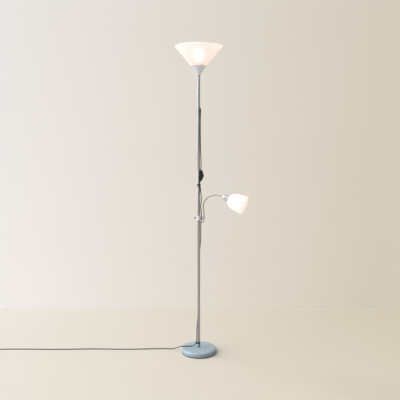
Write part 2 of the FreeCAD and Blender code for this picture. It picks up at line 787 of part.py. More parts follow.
def make_switch_cases():
    """Two moulded halves that close round the flex, the front with a well for the rocker."""
    half = s.switch_length / 2
    half_width = s.switch_width / 2
    back = padded_outline("switch_back", [
        (-s.switch_back, -s.switch_slope_end),
        (-s.switch_nose_half, -half),
        (s.switch_split, -half),
        (s.switch_split, half),
        (-s.switch_nose_half, half),
        (-s.switch_back, s.switch_slope_end),
    ], s.switch_width)
    front = padded_outline("switch_front", [
        (s.switch_split, -half),
        (s.switch_nose_half, -half),
        (s.switch_front - s.switch_split, -s.switch_slope_end),
        (s.switch_front, -s.switch_shoulder),
        (s.switch_front, s.switch_shoulder),
        (s.switch_front - s.switch_split, s.switch_slope_end),
        (s.switch_nose_half, half),
        (s.switch_split, half),
    ], s.switch_width)
    doc.recompute()
    for body, outer in ((back, -1), (front, 1)):
        pad = body.Tip
        split = float(s.switch_split)
        names = ["Edge%d" % (number + 1) for number, edge in enumerate(pad.Shape.Edges)
                 if lies_round_profile(edge, split, outer)]
        soft = body.newObject("PartDesign::Fillet", body.Name + "_edges")
        soft.Base = (pad, names)
        bind(soft, "Radius", s.switch_edge_radius)
    # the pads grow to one side of their sketch, so the halves are shifted onto the cord
    shift = Placement(Vector(0, float(half_width), 0), Rotation())
    well_half = s.rocker_half_length + s.rocker_gap * 2
    well_width = s.rocker_width + s.rocker_gap * 2
    well_depth = s.rocker_sink + s.rocker_gap * 4
    well = block("rocker_well", (well_depth + 1, well_width, well_half * 2),
                 (s.switch_front - well_depth, -(half_width + well_width / 2), -well_half))
    pin_hole = cylinder("pin_hole", s.pin_radius, s.switch_width - s.rocker_gap * 2,
                        (pivot_x, -(s.switch_width - s.rocker_gap), ZERO), Vector(0, 1, 0))
    hollow = fused("rocker_room", [well, pin_hole])
    front_case = cut("switch_front_case", front, hollow)
    for solid, label in ((back, "switch_case_back"), (front_case, "switch_case_front")):
        solid.Placement = switch_frame.multiply(shift)
        keep(solid, label)


def lies_round_profile(edge, split, outer):
    """Edges of the two outer faces that aren't on the seam or in the noses."""
    box = edge.BoundBox
    level = box.YLength < 0.01
    off_seam = box.XMax < split - 0.5 if outer < 0 else box.XMin > split + 2.2
    return level and off_seam


pivot_x = s.switch_front - s.rocker_pivot_sink


def make_rocker():
    foot = s.switch_front - s.rocker_sink
    edge = s.switch_front + s.rocker_gap * 3
    body = padded_outline("rocker", [
        (foot, -s.rocker_half_length * 0.7),
        (s.switch_front, -s.rocker_half_length),
        (edge, -s.rocker_half_length),
        (s.rocker_tip, ZERO),
        (edge, s.rocker_half_length),
        (s.switch_front, s.rocker_half_length),
        (foot, s.rocker_half_length * 0.7),
    ], s.rocker_width)
    bore = cylinder("rocker_bore", s.pin_radius + s.pin_clearance, s.rocker_width,
                    (pivot_x, -s.rocker_width, ZERO), Vector(0, 1, 0))
    rocker = cut("rocker_cut", body, bore)
    pivot = Vector(float(pivot_x), 0, 0)
    tilt = Placement(Vector(), Rotation(Vector(0, 1, 0), float(s.rocker_rest_tilt)), pivot)
    middle = Placement(Vector(0, float(s.rocker_width) / 2, 0), Rotation())
    rocker.Placement = switch_frame.multiply(tilt).multiply(middle)
    keep(rocker, "switch_rocker")
    length = s.switch_width - s.rocker_gap * 2
    pin = cylinder("rocker_pin", s.pin_radius, length)
    middle = Vector(float(pivot_x), -float(length) / 2, 0)
    pin.Placement = switch_frame.multiply(
        Placement(middle, Rotation(Vector(0, 0, 1), Vector(0, 1, 0))))
    keep(pin, "rocker_pin")


def make_clip(label, foot, height, cord_spot, cord_ahead):
    """A ring that snaps round the pole, joined to a ring for the flex."""
    bore_radius = s.pole_radius + s.clip_bore_gap
    flex_bore = s.cord_radius + s.cord_gap
    pole_ring = cylinder(label + "_pole_ring", bore_radius + s.clip_wall, height,
                         (ZERO, ZERO, foot))
    pole_bore_tool = cylinder(label + "_pole_bore", bore_radius, height, (ZERO, ZERO, foot))
    reach = math.hypot(cord_spot.x, cord_spot.y)
    away = Vector(cord_spot.x / reach, cord_spot.y / reach, 0)
    middle_height = float(foot + height / 2)
    tilt = Rotation(Vector(0, 0, 1), cord_ahead)
    flex_middle = Vector(cord_spot.x, cord_spot.y, middle_height)
    pieces = []
    for name, radius, stretch in (("ring", flex_bore + s.clip_wall, 1), ("hole", flex_bore, 2)):
        piece = cylinder("%s_flex_%s" % (label, name), radius, height * stretch)
        half = tilt.multVec(Vector(0, 0, float(height) * stretch / 2))
        piece.Placement = Placement(flex_middle - half, tilt)
        pieces.append(piece)
    flex_ring, flex_hole = pieces
    web_start = float(bore_radius)
    web_length = reach - float(flex_bore) - web_start
    web = doc.addObject("Part::Box", label + "_web")
    web.Length = web_length
    bind(web, "Width", s.clip_wall * 2)
    bind(web, "Height", height)
    aim = Rotation(Vector(1, 0, 0), away)
    corner = aim.multVec(Vector(web_start, -float(s.clip_wall), 0))
    web.Placement = Placement(corner + Vector(0, 0, float(foot)), aim)
    mouth = doc.addObject("Part::Box", label + "_mouth")
    bind(mouth, "Length", s.pole_radius * 2)
    bind(mouth, "Width", s.clip_mouth)
    bind(mouth, "Height", height)
    back = Rotation(Vector(1, 0, 0), away * -1)
    corner = back.multVec(Vector(0, -float(s.clip_mouth) / 2, 0))
    mouth.Placement = Placement(corner + Vector(0, 0, float(foot)), back)
    body = fused(label + "_body", [pole_ring, flex_ring, web])
    tools = fused(label + "_tools", [pole_bore_tool, flex_hole, mouth])
    keep(cut(label, body, tools), label)


def middle_of_run(points, index):
    """The middle and direction of one run of a route."""
    ahead = (points[index + 1] - points[index]).normalize()
    return (points[index] + points[index + 1]) * 0.5, ahead


def spot_at_height(points, index, height):
    """Where one run of a route passes a height, and its direction there."""
    middle, ahead = middle_of_run(points, index)
    return middle + ahead * ((height - middle.z) / ahead.z), ahead


def make_bead(middle, ahead):
    """A drop-shaped moulding on the flex, its thick part down."""
    bore = s.cord_radius + s.cord_gap
    half = s.bead_length / 2
    revolved("cord_bead", [
        (bore, -half),
        (s.bead_top_radius, -half),
        (s.bead_radius, half - s.bead_tail_length),
        (s.bead_radius * 0.8, half),
        (bore, half),
    ], leaned(middle, ahead))


# ----------------------------------------------------------- reading arm

arm_height = s.collar_middle - s.arm_drop
boss_top = collar_foot + s.boss_height
neck_start = boss_top + s.neck_rise
neck_axis = Vector(float(s.arm_reach), 0, 0)
ahead_level = Rotation(Vector(0, 0, 1), float(s.neck_yaw)).multVec(Vector(1, 0, 0))
bend_axis = Vector(-ahead_level.y, ahead_level.x, 0)


def make_collar():
    """Cross piece on the pole: ring, side boss for the swivel and a stub for the lock screw."""
    minus_x = Vector(-1, 0, 0)
    ring = cylinder("collar_ring", s.collar_radius, s.collar_height, (ZERO, ZERO, collar_foot))
    arm = cylinder("collar_arm", s.arm_radius, s.arm_reach, (ZERO, ZERO, arm_height),
                   Vector(1, 0, 0))
    boss = cylinder("collar_boss", s.boss_radius, s.boss_height,
                    (s.arm_reach, ZERO, collar_foot))
    stub = cylinder("collar_stub", s.arm_radius, s.knob_stand, (ZERO, ZERO, s.collar_middle),
                    minus_x)
    body = fused("collar_body", [ring, arm, boss, stub])
    pole_hole = cylinder("collar_pole_hole", s.pole_radius + s.collar_clearance,
                         s.collar_height, (ZERO, ZERO, collar_foot))
    pin_hole = cylinder("collar_pin_hole", s.swivel_radius + s.swivel_clearance,
                        s.boss_height, (s.arm_reach, ZERO, collar_foot))
    counterbore = cylinder("collar_counterbore", s.retainer_radius + s.seat_gap,
                           s.retainer_depth, (s.arm_reach, ZERO, collar_foot))
    screw_hole = cylinder("collar_screw_hole", s.knob_screw_radius + s.pin_clearance,
                          s.knob_stand, (ZERO, ZERO, s.collar_middle), minus_x)
    tools = fused("collar_holes", [pole_hole, pin_hole, counterbore, screw_hole])
    keep(cut("collar", body, tools), "collar")


def make_knob():
    """Lock screw with a fluted black head."""
    minus_x = Vector(-1, 0, 0)
    head_start = s.knob_stand + s.seat_gap
    head = cylinder("knob_head", s.knob_radius, s.knob_length,
                    (-head_start, ZERO, s.collar_middle), minus_x)
    tip = s.pole_radius + s.seat_gap
    screw = cylinder("knob_screw", s.knob_screw_radius, head_start - tip,
                     (-tip, ZERO, s.collar_middle), minus_x)
    flutes = []
    for number in range(8):
        angle = math.radians(45 * number)
        flutes.append(cylinder(
            "knob_flute_%d" % number, s.knob_flute_radius, s.knob_length,
            (-head_start, s.knob_radius * math.cos(angle),
             s.collar_middle + s.knob_radius * math.sin(angle)), minus_x))
    keep(cut("lock_knob", fused("knob_blank", [head, screw]),
             fused("knob_flutes", flutes)), "lock_knob")


def make_swivel():
    """Pin and flange that carry the gooseneck, held from below by a nut."""
    flange_foot = boss_top + s.swivel_seat_gap
    flange_top = neck_start - s.neck_gap / 2
    thread_radius = s.swivel_radius - s.stud_clearance * 2
    pin_foot = collar_foot + s.retainer_depth - s.retainer_height - s.seat_gap * 2
    at_arm = Placement(neck_axis, Rotation())
    nut_top = collar_foot + s.retainer_depth - s.seat_gap
    nut_foot = nut_top - s.retainer_height
    turned = turned_body("swivel_pin", [
        (ZERO, pin_foot),
        (thread_radius, pin_foot),
        (thread_radius, nut_top),
        (s.swivel_radius, nut_top),
        (s.swivel_radius, flange_foot),
        (s.swivel_flange_radius, flange_foot),
        (s.swivel_flange_radius, flange_foot + s.swivel_flange_radius / 3),
        (s.neck_radius + s.neck_groove, flange_top),
        (ZERO, flange_top),
    ], at_arm)
    bar = cylinder("swivel_knuckle", s.neck_knuckle_radius, s.neck_knuckle_length,
                   (s.arm_reach - s.neck_knuckle_length * (bend_axis.x / 2),
                    s.neck_knuckle_length * (-bend_axis.y / 2), neck_start), bend_axis)
    keep(fused("neck_swivel", [turned, bar]), "neck_swivel")
    revolved("swivel_nut", ring_profile(
        thread_radius + s.pin_clearance, s.retainer_radius, nut_foot, nut_top), at_arm)
    bush_top = nut_foot - s.seat_gap
    bush_foot = collar_foot - s.clip_wall
    revolved("tail_bush", [
        (ZERO, bush_foot),
        (s.tail_radius * 2, bush_foot),
        (s.retainer_radius, collar_foot),
        (s.retainer_radius, bush_top),
        (ZERO, bush_top),
    ], at_arm)
    return neck_axis + Vector(0, 0, float(bush_foot))


def make_tail(start):
    """Short flex that hooks from under the swivel into the pole."""
    grommet_end = s.pole_radius + s.clip_wall
    grommet = revolved("tail_grommet", [
        (ZERO, pole_bore - s.pole_wall),
        (s.tail_hole_radius - s.bush_clearance, pole_bore - s.pole_wall),
        (s.tail_hole_radius - s.bush_clearance, s.pole_radius + s.seat_gap / 2),
        (s.tail_hole_radius + s.clip_wall / 2, s.pole_radius + s.seat_gap / 2),
        (s.tail_radius * 1.5, grommet_end),
        (ZERO, grommet_end),
    ])
    height = float(tail_height)
    grommet.Placement = Placement(
        Vector(0, 0, height), Rotation(Vector(0, 0, 1), Vector(1, 0, 0)))
    end = Vector(float(grommet_end), 0, height)
    ways = [Vector(-math.sin(turn), 0, -math.cos(turn))
            for turn in (0, math.pi / 6, math.pi / 3)]
    run = (start.z - height) / -sum(way.z for way in ways)
    points = [start]
    for way in ways:
        points.append(points[-1] + way * run)
    cord("tail_lead", points + [end], float(s.tail_radius))


# ------------------------------------------------------------- gooseneck

def neck_direction(heading):
    """Unit vector at an angle from upright, in the arm's own plane."""
    angle = math.radians(heading)
    return Vector(0, 0, math.cos(angle)) + ahead_level * math.sin(angle)


def knuckle(point):
    """A round bar across the hose, centred on a bend."""
    length = float(s.neck_knuckle_length)
    return Part.makeCylinder(float(s.neck_knuckle_radius), length,
                             point - bend_axis * (length / 2), bend_axis)


class NeckLink:
    """One stiff length of the ribbed hose, bent to the arc it holds at rest."""

    def __init__(self, number, start, heading, next_heading):
        self.label = "neck_link_%02d" % number
        self.start = start
        self.heading = heading
        self.sweep = next_heading - heading
        self.length = float(s.neck_link_length)

    def station(self, share):
        """Point and direction at a share of the link's length."""
        turned = math.radians(self.sweep * share)
        travelled = self.length * share
        chord = travelled * math.sin(turned / 2) / (turned / 2) if turned else travelled
        towards = neck_direction(self.heading + self.sweep * share / 2)
        return self.start + towards * chord, neck_direction(self.heading + self.sweep * share)

    def circle(self, share, radius):
        point, ahead = self.station(share)
        side = bend_axis.cross(ahead)
        ring = Part.Wire([Part.Circle(Vector(), Vector(0, 0, 1), radius).toShape()])
        ring.Placement = Placement(point, Rotation(side, bend_axis, ahead, "ZXY"))
        return ring

    def solid(self):
        edge = float(s.neck_gap) / 2 / self.length
        crest, valley = float(s.neck_radius), float(s.neck_radius - s.neck_groove)
        pitch = (1 - 2 * edge) / RIBS_PER_LINK
        rings = [self.circle(edge, valley)]
        for rib in range(RIBS_PER_LINK):
            foot = edge + rib * pitch
            rings.append(self.circle(foot + pitch * 0.22, crest))
            rings.append(self.circle(foot + pitch * 0.78, crest))
            rings.append(self.circle(foot + pitch, valley))
        hose = Part.makeLoft(rings, True, True)
        point, ahead = self.station(edge)
        socket = Part.makeCylinder(
            float(s.neck_socket_radius), float(s.neck_socket_depth), point, ahead)
        return hose.cut(socket).fuse(knuckle(self.end()))

    def end(self):
        return self.station(1)[0]


def make_neck():
    """Lays the links end to end and returns where the head begins."""
    here = neck_axis + Vector(0, 0, float(neck_start))
    for number in range(1, len(NECK_HEADINGS)):
        link = NeckLink(number, here, NECK_HEADINGS[number - 1], NECK_HEADINGS[number])
        feature(link.label, link.solid())
        print("bend %d at (%.3f, %.3f, %.3f)" % (number, here.x, here.y, here.z))
        here = link.end()
    print("bend %d at (%.3f, %.3f, %.3f)" % (len(NECK_HEADINGS), here.x, here.y, here.z))
    print("bend axis (%.6f, %.6f, 0)" % (bend_axis.x, bend_axis.y))
    return here


# ---------------------------------------------------------- reading head

def make_head(start):
    """Pieces turned about the head's own axis, which runs out of its mouth."""
    frame = leaned(start, neck_direction(NECK_HEADINGS[-1]))
    back = s.neck_gap / 2
    can_back = s.ferrule_length
    can_front = can_back + s.head_length
    revolved("head_ferrule", [
        (s.neck_socket_radius, back),
        (s.neck_radius + s.neck_groove, back),
        (s.ferrule_radius, back + s.ferrule_radius / 2),
        (s.ferrule_radius, can_back),
        (s.ferrule_stub_radius, can_back),
        (s.ferrule_stub_radius, can_back + s.ferrule_stub_length),
        (ZERO, can_back + s.ferrule_stub_length),
        (ZERO, back + s.neck_socket_depth),
        (s.neck_socket_radius, back + s.neck_socket_depth),
    ], frame)
    hole = s.ferrule_stub_radius + s.bush_clearance
    wall = s.head_wall
    revolved("head_can", [
        (hole, can_back),
        (s.head_back_radius, can_back, s.head_dome, 1),
        (s.head_radius, can_back + s.head_dome),
        (s.head_radius, can_front),
        (s.head_radius - wall, can_front),
        (s.head_radius - wall, can_back + s.head_dome, s.head_dome - wall, -1),
        (s.head_back_radius, can_back + wall),
        (hole, can_back + wall),
    ], frame)
    small_back = can_back + s.ferrule_stub_length + s.seat_gap
    neck_front = can_front + s.small_neck_length
    bore_back = can_front - s.small_bore_depth
    flange = s.head_radius - wall - s.seat_gap
    revolved("small_holder", [
        (ZERO, small_back),
        (s.small_body_radius * 0.7, small_back),
        (s.small_body_radius, small_back + s.small_body_radius * 0.3),
        (s.small_body_radius, can_front - s.holder_flange_thickness),
        (flange, can_front - s.holder_flange_thickness),
        (flange, can_front),
        (s.small_neck_radius, can_front),
        (s.small_neck_radius, neck_front),
        (s.small_bore_radius, neck_front),
        (s.small_bore_radius, bore_back),
        (ZERO, bore_back),
    ], frame)
    make_tulip(can_front, frame)
    ring_back = can_front + s.tulip_wall
    revolved("small_ring", ring_profile(
        s.small_neck_radius + s.ring_clearance, s.small_ring_radius,
        ring_back, ring_back + s.small_ring_height), frame)
    cap_back = bore_back + s.shell_clearance
    cap_front = cap_back + s.small_cap_length
    middle = can_front + s.small_centre
    revolved("small_lamp_cap", [
        (ZERO, cap_back),
        (s.small_cap_radius * 0.5, cap_back),
        (s.small_cap_radius, cap_back + s.small_cap_radius * 0.4),
        (s.small_cap_radius, cap_front),
        (ZERO, cap_front),
    ], frame)
    touch = math.sqrt(float(s.small_glass_radius) ** 2 - float(s.small_cap_radius * 1.3) ** 2)
    print("ball lamp meets its neck %.2f behind its middle" % touch)
    revolved("small_lamp_glass", [
        (ZERO, cap_front),
        (s.small_cap_radius * 0.95, cap_front),
        (s.small_glass_radius * 0.6, middle - s.small_glass_radius * 0.8,
         s.small_glass_radius, 1),
        (s.small_glass_radius, middle, s.small_glass_radius, 1),
        (ZERO, middle + s.small_glass_radius),
    ], frame)


def make_tulip(floor, frame):
    """Bell-shaped shade with a floor that the ring clamps."""
    wall = s.tulip_wall
    shoulder = floor + s.tulip_shoulder_length
    mouth = floor + s.tulip_length
    hole = s.small_neck_radius + s.seat_gap
    revolved("reading_shade", [
        (hole, floor),
        (s.tulip_neck_radius, floor, s.tulip_shoulder_bow, 1),
        (s.tulip_shoulder_radius, shoulder, s.tulip_side_bow, 1),
        (s.tulip_mouth_radius, mouth),
        (s.tulip_mouth_radius - wall, mouth, s.tulip_side_bow, -1),
        (s.tulip_shoulder_radius - wall, shoulder, s.tulip_shoulder_bow - wall, -1),
        (s.tulip_neck_radius - wall * 0.4, floor + wall),
        (hole, floor + wall),
    ], frame)


# ------------------------------------------------------------ floor lead

class Coil:
    """A flat coil in two layers: spiral in, climb, spiral out."""

    SOFTENING = 0.5  # radians over which the spiral turns from in to out

    def __init__(self):
        self.middle = Vector(float(s.coil_middle_x), float(s.coil_middle_y), 0)
        self.pitch = float(s.coil_pitch)
        self.outer = float(s.coil_radius)
        self.cord = float(s.cord_radius)
        self.turns_in = float(s.coil_turns_in)
        self.first = math.pi / 2
        self.climb = math.pi
        self.turning = self.turns_in * 2 * math.pi + self.climb / 2
        self.travel = 2 * self.turning - math.pi / 2

    def point(self, angle):
        """Cord axis after a turned angle."""
        inset = self.turning - math.hypot(angle - self.turning, self.SOFTENING)
        part = (angle - self.turning) / self.climb + 0.5
        part = min(max(part, 0), 1)
        rise = self.pitch * part * part * (3 - 2 * part)
        radius = self.outer - self.pitch * inset / (2 * math.pi)
        spin = self.first + angle
        return self.middle + Vector(radius * math.cos(spin), radius * math.sin(spin),
                                    self.cord + rise)

    def direction(self, angle):
        step = 1e-4
        low, high = max(angle - step, 0), min(angle + step, self.travel)
        return (self.point(high) - self.point(low)).normalize()

    def edges(self):
        quarters = int(round(self.travel / (math.pi / 2)))
        stops = [self.travel * number / quarters for number in range(quarters + 1)]
        start, end = self.start(), self.end()
        found = [Part.LineSegment(start, self.point(0)).toShape()]
        for low, high in zip(stops, stops[1:]):
            found += biarc(self.point(low), self.direction(low),
                           self.point(high), self.direction(high))
        found.append(Part.LineSegment(self.point(self.travel), end).toShape())
        return found

    def start(self):
        return self.point(0) - self.direction(0) * (2 * self.cord)

    def end(self):
        ahead = self.direction(self.travel)
        return self.point(self.travel) + ahead * (2 * self.cord)

    def least_gap(self):
        """Smallest clear distance between turns, on sampled points."""
        count = 720
        spots = [self.point(self.travel * number / count) for number in range(count + 1)]
        apart = int(count * math.pi / self.travel)
        least = min((spots[i] - spots[j]).Length
                    for i in range(0, count + 1, 2) for j in range(i + apart, count + 1, 2))
        return least - 2 * self.cord


def biarc(start, start_way, end, end_way):
    """Two arcs that leave one point and reach another along given directions."""
    across = end - start
    ways = start_way + end_way
    spread = 2 * (1 - start_way.dot(end_way))
    lean = across.dot(ways) * 2
    reach = across.dot(across)
    if spread < 1e-9:
        step = reach / lean
    else:
        step = (-lean + math.sqrt(lean * lean + 4 * spread * reach)) / (2 * spread)
    first, last = start + start_way * step, end - end_way * step
    joint = (first + last) * 0.5
    return [arc_from(start, start_way, joint), arc_from(end, end_way * -1, joint, True)]


def arc_from(start, way, end, backwards=False):
    """The arc that leaves a point along a direction and reaches another."""
    chord = end - start
    ahead = chord.dot(way)
    side = chord - way * ahead
    if side.Length < 1e-7:
        edge = Part.LineSegment(end, start) if backwards else Part.LineSegment(start, end)
        return edge.toShape()
    radius = chord.dot(chord) / (2 * side.Length)
    inward = side.normalize()
    centre = start + inward * radius
    crown = ((start - centre) + (end - centre)).normalize() * radius + centre
    ends = (end, start) if backwards else (start, end)
    return Part.Arc(ends[0], crown, ends[1]).toShape()


def make_plug(start, ahead):
    """Flat two-pin plug with a tapered relief, laid along a direction."""
    frame = leaned(start, ahead)
    relief_end = s.plug_relief_length
    revolved("plug_relief", [
        (ZERO, ZERO),
        (s.plug_relief_tip, ZERO),
        (s.plug_relief_radius, relief_end),
        (ZERO, relief_end),
    ], frame)
    half = s.plug_width / 2
    thickness = (s.cord_radius + s.coil_pitch) * 2
    neck_half = s.plug_neck_width / 2
    front = relief_end + s.plug_length
    body = padded_outline("plug_shell", [
        (-neck_half, relief_end),
        (neck_half, relief_end),
        (half, front - s.plug_straight),
        (half, front),
        (-half, front),
        (-half, front - s.plug_straight),
    ], thickness)
    doc.recompute()
    pad = body.Tip
    names = ["Edge%d" % (number + 1) for number, edge in enumerate(pad.Shape.Edges)
             if edge.BoundBox.YLength < 0.01 and edge.BoundBox.ZLength > 1]
    bevel = body.newObject("PartDesign::Chamfer", "plug_bevel")
    bevel.Base = (pad, names)
    bind(bevel, "Size", s.plug_chamfer)
    # the frame's +Z runs along the cord; its flat side is turned to the floor
    level = Rotation(ahead.cross(Vector(0, 0, 1)), Vector(0, 0, 1) * -1, ahead, "ZXY")
    flat = Placement(start, level)
    shift = Placement(Vector(0, float(thickness) / 2, 0), Rotation())
    body.Placement = flat.multiply(shift)
    keep(body, "plug_body")
    pins = []
    for sign in (-1, 1):
        pin = cylinder("plug_pin_%d" % (sign + 1), s.plug_pin_radius, s.plug_pin_length,
                       (s.plug_pin_spacing * (sign / 2), ZERO, front))
        pins.append(pin)
    pair = doc.addObject("Part::Compound", "plug_pins")
    pair.Links = pins
    pair.Placement = flat
    keep(pair, "plug_pins")


def make_leads(outlet_tip):
    """Flex from the outlet to the switch, and from the switch to the plug."""
    radius = float(s.cord_radius)
    top, bottom = switch_end(1), switch_end(-1)
    up = switch_point(0, 0, 1) - switch_point(0, 0, 0)
    lead_in = [outlet_tip, outlet_tip - Vector(0, 0, SWITCH_LEAD_DROP)]
    lead_in += corners_between(SWITCH_LEAD_CORNERS, top.z, outlet_tip.z)
    cord("switch_lead", lead_in + [top + up * 17, top], radius)
    coil = Coil()
    end = coil.start()
    last_bend = end - coil.direction(0) * 37
    collar, floor = float(s.collar_middle), float(s.base_height)
    on_pole = [bottom, bottom - up * 11]
    on_pole += corners_between(CORNERS_ABOVE_COLLAR, collar, bottom.z)
    on_pole += corners_between(CORNERS_BELOW_COLLAR, floor, collar)
    mains = on_pole + vectors(MAINS_FLOOR_POINTS) + [last_bend, end]
    cord("mains_lead", mains, radius)
    clip_spot, clip_ahead = middle_of_run(mains, 1)
    make_clip("pole_clip", Size(0, "0") + (clip_spot.z - float(s.clip_height) / 2),
              s.clip_height, clip_spot, clip_ahead)
    bead_spot, bead_ahead = middle_of_run(mains, 2)
    make_bead(bead_spot, bead_ahead)
    foot_run = len(on_pole) - 1
    foot_clip_foot = s.base_height + s.foot_clip_rise
    clip_middle = float(foot_clip_foot + s.foot_clip_height / 2)
    foot_spot, foot_ahead = spot_at_height(mains, foot_run, clip_middle)
    make_clip("foot_clip", foot_clip_foot, s.foot_clip_height, foot_spot, foot_ahead)
    wire = Part.Wire(coil.edges())
    feature("lead_coil", tube_along("lead_coil", wire, radius))
    print("lead_coil: least gap to itself %.2f" % coil.least_gap())
    make_plug(coil.end(), coil.direction(coil.travel))


# ---------------------------------------------------------------- the lamp

def check_and_export():
    """Refuses a failed object or an empty shape, then writes one file for each sub-part."""
    for thing in doc.Objects:
        if "Invalid" in thing.State or "Error" in thing.State:
            raise RuntimeError("%s failed: %s" % (thing.Label, thing.State))
    for thing in subparts:
        shape = thing.Shape
        if shape.isNull() or not shape.isValid() or not shape.Solids:
            raise RuntimeError("%s has no valid solid" % thing.Label)
        if thing.Label != "plug_pins" and len(shape.Solids) != 1:
            raise RuntimeError("%s has %d solids" % (thing.Label, len(shape.Solids)))
    os.makedirs("parts", exist_ok=True)
    for thing in subparts:
        thing.Shape.exportStep("parts/%s.step" % thing.Label)
    print("%d sub-parts written" % len(subparts))


make_base()
make_pole()
make_cup()
make_lamp_holder()
make_uplight_shade()
outlet_tip = make_outlet()
make_switch_cases()
make_rocker()
make_collar()
make_knob()
tail_start = make_swivel()
make_tail(tail_start)
head_start = make_neck()
make_head(head_start)
make_leads(outlet_tip)
doc.recompute()
check_and_export()
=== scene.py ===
import logging
import math
from collections.abc import Sequence
from dataclasses import dataclass
from enum import Enum

import bmesh
import bpy
from mathutils import Matrix, Vector


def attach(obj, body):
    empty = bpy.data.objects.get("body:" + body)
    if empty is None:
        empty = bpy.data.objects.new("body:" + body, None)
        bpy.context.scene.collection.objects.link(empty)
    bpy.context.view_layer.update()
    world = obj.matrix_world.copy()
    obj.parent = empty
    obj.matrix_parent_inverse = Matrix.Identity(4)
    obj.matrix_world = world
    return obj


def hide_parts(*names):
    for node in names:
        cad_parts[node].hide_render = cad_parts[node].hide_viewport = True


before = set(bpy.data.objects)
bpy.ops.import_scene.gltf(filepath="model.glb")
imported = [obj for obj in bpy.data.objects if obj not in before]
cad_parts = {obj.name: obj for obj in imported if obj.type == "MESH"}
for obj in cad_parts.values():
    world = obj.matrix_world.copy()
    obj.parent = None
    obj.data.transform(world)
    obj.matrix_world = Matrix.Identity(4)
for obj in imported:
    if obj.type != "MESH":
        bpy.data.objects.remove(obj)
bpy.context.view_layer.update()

log = logging.getLogger("reading_uplighter")

MM = 0.001
# Points closer than this are welded, in millimetres.
WELD = 0.002
# A radius or an angle below this counts as none.
TINY = 1e-6
# Radius of the holes that pass the threaded tube, in millimetres.
STUD_HOLE = 5.2
# Sockets of a colour mix. Its other kinds use the same names, so they go by number.
MIX_SHARE, MIX_FIRST, MIX_SECOND, MIX_RESULT = 0, 6, 7, 2
Spot = tuple[float, float]
Place = tuple[float, float, float]


# ------------------------------------------------------------------ helpers

def linear(hex_text: str) -> tuple[float, float, float, float]:
    """Turns an sRGB hex value to linear light.

    Args:
        hex_text: Six hex digits.

    Returns:
        Red, green, blue and an alpha of 1.
    """
    shares = [int(hex_text[i:i + 2], 16) / 255 for i in (0, 2, 4)]
    light = [share / 12.92 if share <= 0.04045 else ((share + 0.055) / 1.055) ** 2.4
             for share in shares]
    return light[0], light[1], light[2], 1.0


def add_node(tree: bpy.types.NodeTree, kind: str, inputs: dict | None = None,
             **settings: object) -> bpy.types.Node:
    """Adds a node with its settings, and links or sets its inputs.

    Args:
        tree: The material's or world's node tree.
        kind: The node's type name.
        inputs: Socket name or number to a value or to another node's output.
        settings: The node's own attributes.

    Returns:
        The new node.
    """
    node = tree.nodes.new(kind)
    for name, value in settings.items():
        setattr(node, name, value)
    for name, value in (inputs or {}).items():
        if isinstance(value, bpy.types.NodeSocket):
            tree.links.new(value, node.inputs[name])
        else:
            node.inputs[name].default_value = value
    return node


def new_material(name: str, values: dict[str, object]) -> tuple[
        bpy.types.Material, bpy.types.NodeTree, bpy.types.Node]:
    """Starts a material on its Principled shader.

    Args:
        name: The material's name.
        values: The shader's inputs that are the same all over.

    Returns:
        The material, its node tree and the shader.
    """
    material = bpy.data.materials.new(name)
    material.use_nodes = True
    shader = material.node_tree.nodes["Principled BSDF"]
    for socket, value in values.items():
        shader.inputs[socket].default_value = value
    return material, material.node_tree, shader


def colour_mix(tree: bpy.types.NodeTree, share: bpy.types.NodeSocket, first: str,
               second: str) -> bpy.types.NodeSocket:
    """Mixes two colours.

    Args:
        tree: The material's node tree.
        share: Output that says how much of the second colour shows, from 0 to 1.
        first: The first colour in hex.
        second: The second colour.

    Returns:
        The mixed colour's output.
    """
    return add_node(tree, "ShaderNodeMix", {
        MIX_SHARE: share, MIX_FIRST: linear(first), MIX_SECOND: linear(second)},
        data_type="RGBA").outputs[MIX_RESULT]


def arc(start: Spot, end: Spot, radius: float, side: int,
        steps: int = 12) -> list[Spot]:
    """Points on a short arc between two spots of a profile, both included.

    Args:
        start: First spot, in millimetres.
        end: Last spot.
        radius: The arc's radius.
        side: 1 where it turns left on its way, -1 where it turns right.
        steps: Number of parts.

    Returns:
        The spots in order.
    """
    a, b = Vector(start), Vector(end)
    chord = b - a
    across = Vector((-chord.y, chord.x)).normalized() * side
    height = math.sqrt(max(radius ** 2 - chord.length_squared / 4, 0))
    centre = (a + b) / 2 + across * height
    turn = 2 * math.asin(min(chord.length / 2 / radius, 1)) * side
    return [tuple(centre + Matrix.Rotation(turn * k / steps, 2) @ (a - centre))
            for k in range(steps + 1)]


def finish_mesh(bm: bmesh.types.BMesh, name: str, place: Matrix | None = None,
                smooth_below: float = 32.0) -> bpy.types.Object:
    """Turns a bmesh in millimetres into an object in metres that sits at the origin.

    Args:
        bm: The mesh, which is freed.
        name: The new object's name.
        place: Where the piece goes, in millimetres.
        smooth_below: Faces meeting at less than this many degrees shade as one surface.

    Returns:
        The linked object.
    """
    bmesh.ops.remove_doubles(bm, verts=bm.verts, dist=WELD)
    bmesh.ops.recalc_face_normals(bm, faces=bm.faces)
    bmesh.ops.transform(bm, matrix=place or Matrix(), verts=bm.verts)
    bmesh.ops.scale(bm, vec=(MM, MM, MM), verts=bm.verts)
    for edge in bm.edges:
        edge.smooth = edge.calc_face_angle(0) < math.radians(smooth_below)
    for face in bm.faces:
        face.smooth = True
    mesh = bpy.data.meshes.new(name)
    bm.to_mesh(mesh)
    bm.free()
    piece = bpy.data.objects.new(name, mesh)
    bpy.context.scene.collection.objects.link(piece)
    return piece


